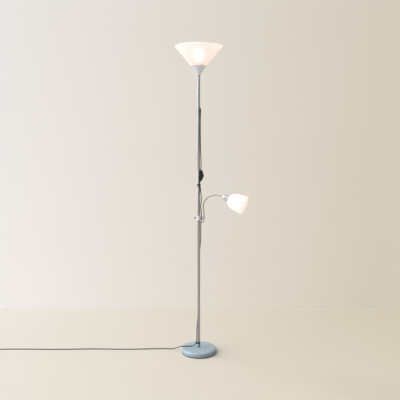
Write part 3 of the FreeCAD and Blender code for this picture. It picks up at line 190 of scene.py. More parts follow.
def turned(name: str, profile: Sequence[Spot], place: Matrix | None = None,
           rounding: dict[int, float] | None = None, *,
           steps: int) -> bpy.types.Object:
    """Spins a closed profile about the upright axis.

    Args:
        name: The new object's name.
        profile: Radius and height of each corner, in millimetres.
        place: Where the piece goes.
        rounding: Corner number to the radius that softens it.
        steps: Facets round the axis.

    Returns:
        The piece.
    """
    bm = bmesh.new()
    corners = [bm.verts.new((r, 0, z)) for r, z in profile]
    for a, b in zip(corners, corners[1:] + corners[:1]):
        if a.co.x > TINY or b.co.x > TINY:
            bm.edges.new((a, b))
    for number, radius in (rounding or {}).items():
        bmesh.ops.bevel(bm, geom=[corners[number]], offset=radius, segments=4,
                        profile=0.5, affect="VERTICES", material=-1)
    bmesh.ops.spin(bm, geom=bm.verts[:] + bm.edges[:], cent=(0, 0, 0), axis=(0, 0, 1),
                   angle=2 * math.pi, steps=steps, use_merge=True)
    return finish_mesh(bm, name, place)


def along(direction: Vector, start: Place | Vector) -> Matrix:
    """Finds a place whose upright runs along a direction.

    Args:
        direction: Where the upright points.
        start: Where the place is.

    Returns:
        The place.
    """
    turn = Vector((0, 0, 1)).rotation_difference(direction).to_matrix().to_4x4()
    return Matrix.Translation(start) @ turn


def dress(piece: bpy.types.Object, material: bpy.types.Material) -> None:
    """Gives every slot of a piece one material.

    Args:
        piece: The piece.
        material: Its finish.
    """
    if not piece.material_slots:
        piece.data.materials.append(material)
    for slot in piece.material_slots:
        slot.material = material


def settle(piece: bpy.types.Object, body: str, slot: str, material: bpy.types.Material,
           *nodes: str) -> bpy.types.Object:
    """Finishes a new piece: its material, its body and what it stands for.

    Args:
        piece: The new piece.
        body: The CAD body it rides on.
        slot: The record's material slot; not used.
        material: Its finish.
        nodes: The CAD nodes it replaces.

    Returns:
        The piece.
    """
    dress(piece, material)
    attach(piece, body)
    if nodes:
        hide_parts(*nodes)
    log.info("piece %s on %s", piece.name, body)
    return piece


# ----------------------------------------------------------------- finishes

COAT_ROUGHNESS = 0.12
OPAL_IOR = 1.49
# Scale of a brushed grain along the axis, which draws it out into lines.
BRUSHED_STRETCH = 0.06
# How far the grain varies a surface's roughness, to both sides.
SHEEN_SPREAD = 0.14
# Sizes in millimetres: slow clouding of a finish, and frosting of the opal walls.
CLOUD_MM = 70
FROST_MM = 1.2
FROST_DEPTH_MM = 0.03


class Grain(Enum):
    """How a finish breaks up the light, by the way its surface was made."""

    FLAKE = "flake"
    MOULDED = "moulded"
    BRUSHED = "brushed"
    CAST = "cast"
    POLISHED = "polished"


@dataclass(frozen=True)
class Finish:
    """A real finish: what it is made of and how its surface was made."""

    name: str
    colour: str
    roughness: float
    grain: Grain
    metallic: float = 0.0
    ior: float = 1.5
    second_colour: str = ""
    coat: float = 0.0
    depth_mm: float = 0.02

    def pitch_mm(self) -> float:
        """Size of the grain's specks, coarser than life where those are very fine.

        Returns:
            Millimetres from one speck to the next.
        """
        return {Grain.FLAKE: 0.9, Grain.MOULDED: 0.6, Grain.BRUSHED: 0.5,
                Grain.CAST: 2.5, Grain.POLISHED: 6.0}[self.grain]

    def material(self) -> bpy.types.Material:
        """Builds the node material.

        Returns:
            A material that reads Object coordinates.
        """
        material, tree, shader = new_material(self.name, {
            "Metallic": self.metallic, "IOR": self.ior, "Coat Weight": self.coat,
            "Coat Roughness": COAT_ROUGHNESS})
        place = add_node(tree, "ShaderNodeTexCoord").outputs["Object"]
        stretch = (1, 1, BRUSHED_STRETCH if self.grain is Grain.BRUSHED else 1)
        spread = add_node(tree, "ShaderNodeMapping", {
            "Vector": place, "Scale": stretch})
        specks = add_node(tree, "ShaderNodeTexNoise", {
            "Vector": spread.outputs["Vector"],
            "Scale": 1 / (self.pitch_mm() * MM * 2),
            "Detail": 3.0, "Roughness": 0.6})
        cloud = add_node(tree, "ShaderNodeTexNoise", {
            "Vector": place, "Scale": 1 / (CLOUD_MM * MM), "Detail": 2.0})
        colour = colour_mix(tree, cloud.outputs["Fac"], self.colour,
                            self.second_colour or self.colour)
        tree.links.new(colour, shader.inputs["Base Color"])
        sheen = add_node(tree, "ShaderNodeMapRange", {
            "Value": specks.outputs["Fac"], "From Min": 0.3, "From Max": 0.7,
            "To Min": self.roughness * (1 - SHEEN_SPREAD),
            "To Max": min(self.roughness * (1 + SHEEN_SPREAD), 1)})
        tree.links.new(sheen.outputs["Result"], shader.inputs["Roughness"])
        relief = add_node(tree, "ShaderNodeBump", {
            "Height": specks.outputs["Fac"], "Distance": self.depth_mm * MM,
            "Strength": 0.5})
        tree.links.new(relief.outputs["Normal"], shader.inputs["Normal"])
        return material


@dataclass(frozen=True)
class LitOpal:
    """Frosted plastic or glass with a lamp alight behind it.

    Part of the light comes straight through the frosted wall, and the rest is spread in
    it: that glow fades with the distance from the lamp.
    """

    name: str
    colour: str
    glow: str
    core: str
    lamp_mm: Place
    near_mm: float
    far_mm: float
    strength: float
    through: float = 0.0
    roughness: float = 0.42

    def material(self) -> bpy.types.Material:
        """Builds the glow from the distance to the lamp.

        Returns:
            A material that reads Object coordinates.
        """
        material, tree, shader = new_material(self.name, {
            "Base Color": linear(self.colour), "Roughness": self.roughness,
            "IOR": OPAL_IOR, "Transmission Weight": self.through,
            "Emission Strength": self.strength})
        place = add_node(tree, "ShaderNodeTexCoord").outputs["Object"]
        away = add_node(tree, "ShaderNodeVectorMath", {
            0: place, 1: [c * MM for c in self.lamp_mm]}, operation="DISTANCE")
        fade = add_node(tree, "ShaderNodeMapRange", {
            "Value": away.outputs["Value"], "From Min": self.near_mm * MM,
            "From Max": self.far_mm * MM}, interpolation_type="SMOOTHSTEP")
        glow = colour_mix(tree, fade.outputs["Result"], self.core, self.glow)
        tree.links.new(glow, shader.inputs["Emission Color"])
        frost = add_node(tree, "ShaderNodeTexNoise", {
            "Vector": place, "Scale": 1 / (FROST_MM * MM), "Detail": 3.0})
        relief = add_node(tree, "ShaderNodeBump", {
            "Height": frost.outputs["Fac"], "Distance": FROST_DEPTH_MM * MM,
            "Strength": 0.4})
        tree.links.new(relief.outputs["Normal"], shader.inputs["Normal"])
        return material


# Silver-grey lacquer baked on steel: fine metal flake under a satin clear coat.
SILVER_LACQUER = Finish("silver_lacquer_baked", "8D9CA5", 0.6, Grain.FLAKE, 0.4,
                        second_colour="94A2AC", coat=0.1)
# The same lacquer on the spun cup, in a much paler copy: a painted highlight for the
# light the cup catches.
LIT_CUP_LACQUER = Finish("silver_lacquer_cup_painted_highlight", "DADCE7", 0.36, Grain.FLAKE, 0.55,
                     coat=0.2)
# Satin nickel on the deep-drawn can: it darkens where it turns away from the light.
CAN_NICKEL = Finish("satin_nickel_drawn_can", "D2D2D5", 0.28, Grain.POLISHED, 0.9,
                    depth_mm=0.003)
# The silver-grey lacquer on drawn tube, which mirrors the room in long streaks.
TUBE_LACQUER = Finish("silver_lacquer_tube", "A2A1A2", 0.14, Grain.BRUSHED, 0.85,
                      coat=0.2, depth_mm=0.006)
# Polypropylene plate moulded in black: matt, with the mould's spark-eroded grain.
BLACK_FOOT = Finish("polypropylene_moulded_black", "141414", 0.62, Grain.MOULDED)
# Grey iron in a thin dark primer, as it left the sand.
CAST_IRON = Finish("cast_iron_primed", "2E2F30", 0.75, Grain.CAST, 0.3, depth_mm=0.3)
# Zinc-plated turned steel: fine lathe lines and a dull shine.
ZINC_PLATE = Finish("zinc_plated_steel", "B9B9B4", 0.34, Grain.BRUSHED, 1.0)
# Nickel-chrome over a wound steel hose: sharp highlights on each rib.
BRIGHT_CHROME = Finish("chromed_steel", "AEB1B6", 0.14, Grain.POLISHED, 1.0,
                       depth_mm=0.005)
# Drawn brass shell of a lamp holder.
BRASS_SHELL = Finish("drawn_brass", "C9A45C", 0.28, Grain.BRUSHED, 1.0)
# Glass-filled polyester of a lamp holder: off-white and heat-proof.
HOLDER_WHITE = Finish("polyester_moulded_white", "E6E4DC", 0.5, Grain.MOULDED)
# ABS moulded in black with a fine grain, as on inline switches and clips.
BLACK_ABS = Finish("abs_moulded_black", "0D0D0F", 0.46, Grain.MOULDED,
                   second_colour="111113")
# ABS sprayed silver, as on the arm's collar: smoother and paler than the lacquer.
SILVER_ABS = Finish("abs_sprayed_silver", "CFCFD8", 0.36, Grain.FLAKE, 0.35)
# PVC sheath of the round flex: smooth, with a soft dull shine.
PVC_SHEATH = Finish("pvc_sheath_black", "161617", 0.46, Grain.MOULDED, depth_mm=0.01)
# Rolled aluminium screw cap of a lamp.
LAMP_CAP = Finish("aluminium_rolled", "BEBEBE", 0.3, Grain.BRUSHED, 1.0)

# The two frosted shades and the soft white glass of the lamps in them.
UPLIGHT_OPAL = LitOpal("opal_polypropylene_uplight", "D6CCC8", "D9CBC4", "C2B4AC",
                       (0, 0, 1745), 60, 130, 0.52, through=0.5, roughness=0.38)
READING_OPAL = LitOpal("opal_polypropylene_reading", "DDD5D0", "C3BAB4", "FFF8F0",
                       (212.3, -80.7, 910.6), 22, 62, 0.42, through=0.5, roughness=0.38)
UPLIGHT_GLASS = LitOpal("soft_white_lamp_large", "FFF8EC", "FFF6EA", "FFFFFF",
                        (0, 0, 1737.5), 20, 60, 2.8)
READING_GLASS = LitOpal("soft_white_lamp_small", "FFF8EC", "FFF6EA", "FFFFFF",
                        (212.3, -80.7, 910.6), 15, 45, 2.6)


# ---------------------------------------------------------------- the lamp

@dataclass
class Base:
    """The round foot: pressed cover over an iron disc on a black plate."""

    radius: float = 102.0
    edge: float = 9.0
    top: float = 30.0
    fall: float = 1.5
    flat_radius: float = 26.0
    wall: float = 1.2
    foot_height: float = 3.5
    curl_in: float = 1.6
    curl_height: float = 3.0
    curl_radius: float = 3.4
    zinc_nodes: tuple[str, ...] = (
        "weight_washer", "weight_nut", "pole_stud", "pole_bottom_bush",
        "coupling_lower", "coupling_upper", "pole_top_bush", "uplight_nipple",
        "cup_nut", "rocker_pin", "swivel_nut", "plug_pins")

    def profile(self) -> list[Spot]:
        """Draws the cover's section, from its curled-in rim over the shoulder.

        Returns:
            Its corners round to the rim's inside.
        """
        shoulder = self.top - self.fall
        outer = arc((self.radius, shoulder - self.edge),
                    (self.radius - self.edge, shoulder), self.edge, 1)
        inner = arc((self.radius - self.edge, shoulder - self.wall),
                    (self.radius - self.wall, shoulder - self.edge),
                    self.edge - self.wall, -1)
        curl = arc((self.radius - self.curl_in, self.foot_height),
                   (self.radius, self.foot_height + self.curl_height),
                   self.curl_radius, 1, 4)
        return [*curl, *outer, (self.flat_radius, self.top),
                (STUD_HOLE, self.top), (STUD_HOLE, self.top - self.wall),
                (self.flat_radius, self.top - self.wall), *inner,
                (self.radius - self.wall, self.foot_height + self.curl_height),
                (self.radius - self.curl_in - self.wall, self.foot_height)]

    def build(self, silver: bpy.types.Material) -> None:
        """Spins the cover and dresses the CAD's plate, weight and zinc-plated parts.

        Args:
            silver: The cover's finish.
        """
        cover = turned("pressed_base_cover", self.profile(), steps=128)
        settle(cover, "stand", "silver_paint", silver, "base_cover")
        dress(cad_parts["foot_plate"], BLACK_FOOT.material())
        dress(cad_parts["base_weight"], CAST_IRON.material())
        zinc = ZINC_PLATE.material()
        for node in self.zinc_nodes:
            dress(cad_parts[node], zinc)


@dataclass
class Pole:
    """Three lacquered tubes that butt on hidden bushes."""

    radius: float = 8.0
    wall: float = 1.2
    foot: float = 30.0
    section: float = 530.5
    end_rounding: float = 0.35
    names: tuple[str, ...] = ("pole_lower", "pole_middle", "pole_upper")

    def build(self) -> None:
        """Spins each tube with a softened end."""
        drawn = TUBE_LACQUER.material()
        for number, name in enumerate(self.names):
            low = self.foot + number * self.section
            high = low + self.section
            inner = self.radius - self.wall
            tube = turned(name.replace("pole", "tube"),
                          [(inner, low), (self.radius, low), (self.radius, high),
                           (inner, high)],
                          rounding={1: self.end_rounding, 2: self.end_rounding},
                          steps=48)
            settle(tube, "stand", "silver_paint", drawn, name)


@dataclass
class Uplight:
    """Cup, lamp holder, lamp and the wide cone of the opal shade."""

    foot: float = 1621.5
    floor: float = 1673.5
    rim: float = 1781.5
    rim_radius: float = 133.0
    rim_height: float = 4.0
    rim_inside: float = 130.98
    cone_radius: float = 130.5
    cone_inside: float = 43.0
    shade_hole: float = 20.2
    cup_radius: float = 44.0
    cup_foot_radius: float = 10.0
    cup_bow: float = 220.0
    cup_wall: float = 0.8
    cup_floor: float = 2.0
    wall: float = 2.2
    lamp_lift: float = 11.0
    lamp_middle: float = 1737.5
    lamp_radius: float = 30.0
    lamp_cap_radius: float = 12.6
    lamp_cap_height: float = 7.8
    # Radius of the throat, and how far it lies above the middle of the lamp.
    lamp_throat: Spot = (22.3, -20.07)

    def build(self, silver: bpy.types.Material) -> None:
        """Builds cup, shade and lamp, and dresses both lamp holders.

        Args:
            silver: The cup's finish.
        """
        self.build_cup(silver)
        self.build_shade()
        lamp = turned("pear_lamp", self.lamp_profile(), steps=64)
        settle(lamp, "stand", "lamp_glass", UPLIGHT_GLASS.material(),
               "uplight_lamp_glass")
        white = HOLDER_WHITE.material()
        for node in ("uplight_holder", "uplight_ring", "small_holder", "small_ring"):
            dress(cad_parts[node], white)
        dress(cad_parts["uplight_shell"], BRASS_SHELL.material())
        cap = LAMP_CAP.material()
        for node in ("uplight_lamp_cap", "small_lamp_cap"):
            dress(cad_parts[node], cap)

    def build_cup(self, silver: bpy.types.Material) -> None:
        """Spins the flared cup of thin sheet.

        Args:
            silver: Its finish.
        """
        floor = self.foot + self.cup_floor
        outer = arc((self.cup_foot_radius, self.foot), (self.cup_radius, self.floor),
                    self.cup_bow, -1, 20)
        inner = arc((self.cup_radius - self.cup_wall, self.floor),
                    (self.cup_foot_radius - self.cup_wall, floor),
                    self.cup_bow + self.cup_wall, 1, 20)
        cup = turned("flared_cup", [*outer, *inner, (STUD_HOLE, floor),
                                    (STUD_HOLE, self.foot)], steps=96)
        settle(cup, "stand", "silver_paint", silver, "uplight_cup")

    def build_shade(self) -> None:
        """Spins the straight cone with its thick moulded rim."""
        band_foot = self.rim - self.rim_height
        profile = [
            (self.shade_hole, self.floor), (self.cup_radius, self.floor),
            (self.cone_radius, band_foot), (self.rim_radius, band_foot),
            (self.rim_radius, self.rim), (self.rim_inside, self.rim),
            (self.cone_inside, self.floor + self.wall),
            (self.shade_hole, self.floor + self.wall)]
        shade = turned("opal_cone_shade", profile, steps=160,
                       rounding={1: 1.2, 3: 1.0, 4: 1.2, 5: 0.8, 6: 1.5})
        settle(shade, "stand", "opal_shade", UPLIGHT_OPAL.material(), "uplight_shade")

    def lamp_profile(self) -> list[Spot]:
        """Draws the pear shape from the cap to its crown.

        Returns:
            Its corners.
        """
        foot = self.floor + self.lamp_lift
        throat = (self.lamp_throat[0], self.lamp_middle + self.lamp_throat[1])
        equator = (self.lamp_radius, self.lamp_middle)
        crown = (0.0, self.lamp_middle + self.lamp_radius)
        return [(0, foot), (self.lamp_cap_radius, foot),
                (self.lamp_cap_radius, foot + self.lamp_cap_height),
                *arc(throat, equator, self.lamp_radius, 1, 8),
                *arc(equator, crown, self.lamp_radius, 1, 16)[1:]]


@dataclass
class Fittings:
    """Black mouldings along the pole: outlet, switch, clips and the lock knob."""

    black_nodes: tuple[str, ...] = (
        "cord_outlet", "switch_case_back", "switch_case_front", "switch_rocker",
        "pole_clip", "foot_clip", "cord_bead", "lock_knob", "tail_bush", "tail_grommet",
        "plug_body")

    def build(self, black: bpy.types.Material, sheath: bpy.types.Material) -> None:
        """Dresses the mouldings and lays the short flex under the collar.

        Args:
            black: The finish of the mouldings.
            sheath: The finish of the flex.
        """
        for node in self.black_nodes:
            dress(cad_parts[node], black)
        tail = Flex("flex_of_reading_lamp", TAIL_LEAD, 3.2).curve()
        settle(tail, "stand", "black_cord", sheath, "tail_lead")
        dress(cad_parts["plug_relief"], sheath)
        dress(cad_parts["collar"], SILVER_ABS.material())


@dataclass
class Gooseneck:
    """The ribbed hose, in ten lengths that each keep the arc of the photograph."""

    start: Place = (31.0, 0.0, 823.0)
    yaw: float = -24.0
    headings: tuple[float, ...] = (-2, -7, -8, 6, 26, 45, 60, 72, 83, 95, 109)
    length: float = 20.5
    radius: float = 3.75
    groove: float = 0.45
    ribs: int = 11
    sides: int = 24
    gap: float = 0.5
    nose: float = 2.7
    nose_reach: float = 1.9
    nose_taper: float = 0.6
    socket: float = 3.0
    socket_depth: float = 2.8
    # One rib: share of its pitch, and share of the groove's depth that is cut there.
    rib_section: tuple[Spot, ...] = ((0.2, 0.3), (0.5, 0.0), (0.8, 0.3), (1.0, 1.0))

    def level(self) -> Vector:
        """Finds the way the arm reaches out, on the level.

        Returns:
            A direction of length 1.
        """
        return Matrix.Rotation(math.radians(self.yaw), 3, "Z") @ Vector((1, 0, 0))

    def towards(self, heading: float) -> Vector:
        """Finds a direction in the plane of the arm.

        Args:
            heading: Degrees from upright.

        Returns:
            The direction.
        """
        angle = math.radians(heading)
        return Vector((0, 0, math.cos(angle))) + self.level() * math.sin(angle)

    def station(self, start: Vector, first: float, last: float, share: float) -> Matrix:
        """The place of one ring of a link.

        Args:
            start: Where the link's arc begins.
            first: Its first heading.
            last: Its last heading.
            share: How far along the arc, from 0 to 1.

        Returns:
            A place whose upright runs along the hose.
        """
        half = math.radians((last - first) * share) / 2
        shrink = math.sin(half) / half if abs(half) > TINY else 1
        reach = self.length * share * shrink
        spot = start + self.towards(first + (last - first) * share / 2) * reach
        return along(self.towards(first + (last - first) * share), spot)

    def rings(self) -> list[Spot]:
        """Lists every ring from the socket's floor to the nose.

        Returns:
            Share of the length and radius of each.
        """
        edge = self.gap / 2 / self.length
        rows = [(edge + self.socket_depth / self.length, self.socket),
                (edge, self.socket), (edge, self.radius - self.groove)]
        pitch = (1 - 2 * edge) / self.ribs
        for rib in range(self.ribs):
            foot = edge + rib * pitch
            for part, cut in self.rib_section:
                rows.append((foot + part * pitch, self.radius - self.groove * cut))
        tip = self.nose_reach / self.length
        return rows + [(1 - edge, self.nose), (1 + tip * self.nose_taper, self.nose),
                       (1 + tip, self.nose * self.nose_taper)]

    def link(self, name: str, start: Vector, first: float,
             last: float) -> bpy.types.Object:
        """Draws one ring out along the hose.

        Args:
            name: The new piece's name.
            start: Where its arc begins.
            first: Its first heading.
            last: Its last heading.

        Returns:
            The piece.
        """
        bm = bmesh.new()
        rows = self.rings()
        share, radius = rows[0]
        place = self.station(start, first, last, share)
        bmesh.ops.create_circle(bm, cap_ends=True, segments=self.sides, radius=radius,
                                matrix=place)
        edges = bm.edges[:]
        for share, next_radius in rows[1:]:
            next_place = self.station(start, first, last, share)
            drawn = bmesh.ops.extrude_edge_only(bm, edges=edges)["geom"]
            verts = [g for g in drawn if isinstance(g, bmesh.types.BMVert)]
            edges = [g for g in drawn if isinstance(g, bmesh.types.BMEdge)
                     and all(v in verts for v in g.verts)]
            grow = Matrix.Scale(next_radius / radius, 4)
            bmesh.ops.transform(bm, matrix=next_place @ grow @ place.inverted(),
                                verts=verts)
            place, radius = next_place, next_radius
        bmesh.ops.contextual_create(bm, geom=edges)
        return finish_mesh(bm, name, smooth_below=60)

    def build(self, chrome: bpy.types.Material) -> Vector:
        """Lays the links end to end.

        Args:
            chrome: Their finish.

        Returns:
            Where the reading head begins.
        """
        here = Vector(self.start)
        pairs = zip(self.headings, self.headings[1:])
        for number, (first, last) in enumerate(pairs, 1):
            piece = self.link("ribbed_hose_%02d" % number, here, first, last)
            settle(piece, "neck_%02d" % number, "chrome", chrome,
                   "neck_link_%02d" % number)
            here = self.station(here, first, last, 1).translation
        dress(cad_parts["neck_swivel"], chrome)
        return here


@dataclass
class ReadingHead:
    """Ferrule, holder can, small lamp and the bell-shaped shade."""

    can_back: float = 10.0
    can_front: float = 50.0
    can_radius: float = 18.0
    can_hole: float = 4.55
    can_bend: float = 7.0
    wall: float = 1.0
    shade_hole: float = 14.3
    shade_wall: float = 2.0
    shade_foot: float = 24.0
    shade_foot_inside: float = 23.2
    # Radius of shoulder and mouth, and how far each lies in front of the can.
    shoulder: Spot = (43.8, 30.0)
    shoulder_bow: float = 58.0
    mouth: Spot = (53.7, 94.0)
    mouth_bow: float = 273.0
    lamp_foot: float = 60.1
    lamp_neck: float = 6.65
    # Radius of the throat, and how far it lies in front of the middle of the lamp.
    lamp_throat: Spot = (13.5, -18.0)
    lamp_middle: float = 95.5
    lamp_radius: float = 22.5
    # The ferrule's section: socket rim, cone, collar and the spigot in the can.
    ferrule: tuple[Spot, ...] = (
        (3.0, 0.25), (4.15, 0.25), (6, 3.25), (6, 10), (4.5, 10), (4.5, 16), (0, 16),
        (0, 3.05), (3.0, 3.05))

    def build(self, place: Matrix, silver: bpy.types.Material,
              chrome: bpy.types.Material) -> None:
        """Spins the head's pieces about its own axis.

        Args:
            place: The head's place, its upright running out of the mouth.
            silver: The can's finish.
            chrome: The ferrule's finish.
        """
        can = turned("holder_can", self.can_profile(), place, steps=64)
        settle(can, "reading_head", "silver_paint", silver, "head_can")
        ferrule = turned("neck_ferrule", self.ferrule, place,
                         rounding={2: 0.8, 3: 0.6}, steps=40)
        settle(ferrule, "reading_head", "chrome", chrome, "head_ferrule")
        shade = turned("bell_shade", self.shade_profile(), place, steps=128)
        settle(shade, "reading_head", "opal_shade", READING_OPAL.material(),
               "reading_shade")
        lamp = turned("ball_lamp", self.lamp_profile(), place, steps=56)
        settle(lamp, "reading_head", "lamp_glass", READING_GLASS.material(),
               "small_lamp_glass")

    def can_profile(self) -> list[Spot]:
        """Draws the can's section, with a rounded back edge.

        Returns:
            Its corners.
        """
        flat = self.can_radius - self.can_bend
        side = self.can_back + self.can_bend
        outer = arc((flat, self.can_back), (self.can_radius, side), self.can_bend, 1, 8)
        inner = arc((self.can_radius - self.wall, side),
                    (flat, self.can_back + self.wall), self.can_bend - self.wall, -1, 8)
        return [(self.can_hole, self.can_back), *outer,
                (self.can_radius, self.can_front),
                (self.can_radius - self.wall, self.can_front), *inner,
                (self.can_hole, self.can_back + self.wall)]

    def shade_profile(self) -> list[Spot]:
        """Draws the bell: a tight shoulder, then a long easy flare to the mouth.

        Returns:
            Its corners, outside first.
        """
        floor, wall, bow = self.can_front, self.shade_wall, self.mouth_bow
        shoulder = (self.shoulder[0], floor + self.shoulder[1])
        mouth = (self.mouth[0], floor + self.mouth[1])
        shoulder_in = (shoulder[0] - wall, shoulder[1])
        outer = [*arc((self.shade_foot, floor), shoulder, self.shoulder_bow, 1, 12),
                 *arc(shoulder, mouth, bow, 1, 14)[1:]]
        inner = [*arc((mouth[0] - wall, mouth[1]), shoulder_in, bow, -1, 14),
                 *arc(shoulder_in, (self.shade_foot_inside, floor + wall),
                      self.shoulder_bow - wall, -1, 12)[1:]]
        return [(self.shade_hole, floor), *outer, *inner,
                (self.shade_hole, floor + wall)]

    def lamp_profile(self) -> list[Spot]:
        """Draws the ball on its short neck.

        Returns:
            Its corners.
        """
        throat = (self.lamp_throat[0], self.lamp_middle + self.lamp_throat[1])
        equator = (self.lamp_radius, self.lamp_middle)
        crown = (0.0, self.lamp_middle + self.lamp_radius)
        return [(0, self.lamp_foot), (self.lamp_neck, self.lamp_foot),
                *arc(throat, equator, self.lamp_radius, 1, 8),
                *arc(equator, crown, self.lamp_radius, 1, 16)[1:]]


# -------------------------------------------------------------------- cords

@dataclass
class Flex:
    """A round PVC flex on a smooth line through its route's points."""

    name: str
    points: list[Place]
    diameter: float = 4.8
    order: int = 3
    steps: int = 8
    section: int = 5

    def curve(self) -> bpy.types.Object:
        """Makes the NURBS line with its round section.

        Returns:
            The curve object.
        """
        data = bpy.data.curves.new(self.name, "CURVE")
        data.dimensions = "3D"
        line = data.splines.new("NURBS")
        line.points.add(len(self.points) - 1)
        for point, place in zip(line.points, self.points):
            point.co = (*(c * MM for c in place), 1)
        line.order_u = self.order
        line.use_endpoint_u = True
        line.resolution_u = self.steps
        data.bevel_depth = self.diameter / 2 * MM
        data.bevel_resolution = self.section
        data.use_fill_caps = True
        piece = bpy.data.objects.new(self.name, data)
        bpy.context.scene.collection.objects.link(piece)
        return piece


# Routes in millimetres, each from the place where the flex comes out.
SWITCH_LEAD: list[Place] = [
    (9.576, -8.035, 1401), (9.576, -8.035, 1376), (8.9, -8.9, 1336),
    (9.1, -8.6, 1285), (9.9, -8.5, 1229), (11.5, -9.6, 1176), (13.2, -12.6, 1137),
    (13.928, -16.5, 1107.31), (12.446, -16.5, 1090.37),
]

TAIL_LEAD: list[Place] = [
    (31, 0, 797.4), (31, 0, 791.61), (28.1, 0, 786.6), (23.1, 0, 783.7),
    (9.6, 0, 783.7),
]

# Down the pole, over the base, where the points follow the photograph more closely
# than the CAD solid does, and along the floor.
MAINS_LEAD: list[Place] = [
    (6.554, -16.5, 1023.03),
    (5.6, -16.5, 1012.1), (7.7, -12.8, 991), (10.2, -11.9, 969), (15.0, -11.4, 943),
    (16.6, -11.0, 923), (13.4, -10.7, 899), (10.4, -10.9, 877), (14.0, -11.6, 853),
    (16.9, -12.2, 827), (15.8, -12.6, 799), (12.0, -9.8, 775), (11.7, -4.6, 746),
    (12.1, 2.2, 704), (9.4, 8.4, 655), (3.6, 12.0, 596), (-0.5, 12.2, 531),
    (-1.4, 11.7, 459), (0.2, 11.6, 386), (0.4, 12.0, 314), (-3.0, 12.3, 244),
    (-8.4, 9.3, 183), (-11.9, 4.0, 132), (-12.3, 0.6, 93), (-12.2, 0.0, 67),
    (-18.6, 3.6, 47.5), (-30.0, 8.0, 36.6), (-51, 7.4, 32.9), (-76, 7.0, 32.0),
    (-100, 9.6, 31.0), (-121, 15.6, 23.6), (-144, 24.6, 11.0), (-171, 35.0, 4.2),
    (-209, 42.4, 2.4), (-262, 41.8, 2.4), (-322, 37.4, 2.4), (-386, 34.0, 2.4),
    (-452, 33.2, 2.4), (-520, 34.8, 2.4), (-590, 37.4, 2.4), (-660, 38.0, 2.4),
    (-729, 36.2, 2.4), (-797, 33.0, 2.4), (-864, 31.2, 2.4), (-930, 31.6, 2.4),
    (-994, 33.6, 2.4), (-1054, 35.2, 2.4), (-1110, 35.4, 2.4), (-1160, 34.6, 2.4),
    (-1204.2, 33.6, 2.4),
]


@dataclass
class Cords:
    """The flex from the outlet to the switch, and on to the plug on the floor."""

    coil_middle: Spot = (-1246.0, 0.0)
    coil_radius: float = 33.6
    coil_pitch: float = 5.3
    cord_radius: float = 2.4
    turns_in: float = 2.0
    per_turn: int = 16

    def coil_points(self) -> list[Place]:
        """Winds the coil: in on the floor, half a turn of climb, out on top.

        Returns:
            The points of its middle line, in millimetres.
        """
        turning = self.turns_in * 2 * math.pi + math.pi / 2
        travel = 2 * turning - math.pi / 2
        count = round(travel / (2 * math.pi) * self.per_turn)
        rows = []
        for number in range(count + 1):
            angle = travel * number / count
            inset = turning - math.hypot(angle - turning, 0.5)
            part = min(max((angle - turning) / math.pi + 0.5, 0), 1)
            rise = self.coil_pitch * part * part * (3 - 2 * part)
            radius = self.coil_radius - self.coil_pitch * inset / (2 * math.pi)
            spin = math.pi / 2 + angle
            rows.append((self.coil_middle[0] + radius * math.cos(spin),
                         self.coil_middle[1] + radius * math.sin(spin),
                         self.cord_radius + rise))
        return rows

    def build(self, sheath: bpy.types.Material) -> None:
        """Lays both flexes.

        Args:
            sheath: Their finish.
        """
        upper = Flex("flex_to_switch", SWITCH_LEAD).curve()
        settle(upper, "stand", "black_cord", sheath, "switch_lead")
        coil = self.coil_points()
        way = Vector(coil[-1]) - Vector(coil[-2])
        tail = Vector(coil[-1]) + way.normalized() * 2 * self.cord_radius
        lower = Flex("flex_to_plug", [*MAINS_LEAD[:-1], *coil, tuple(tail)]).curve()
        settle(lower, "stand", "black_cord", sheath, "mains_lead", "lead_coil")


# ------------------------------------------------------------------- studio

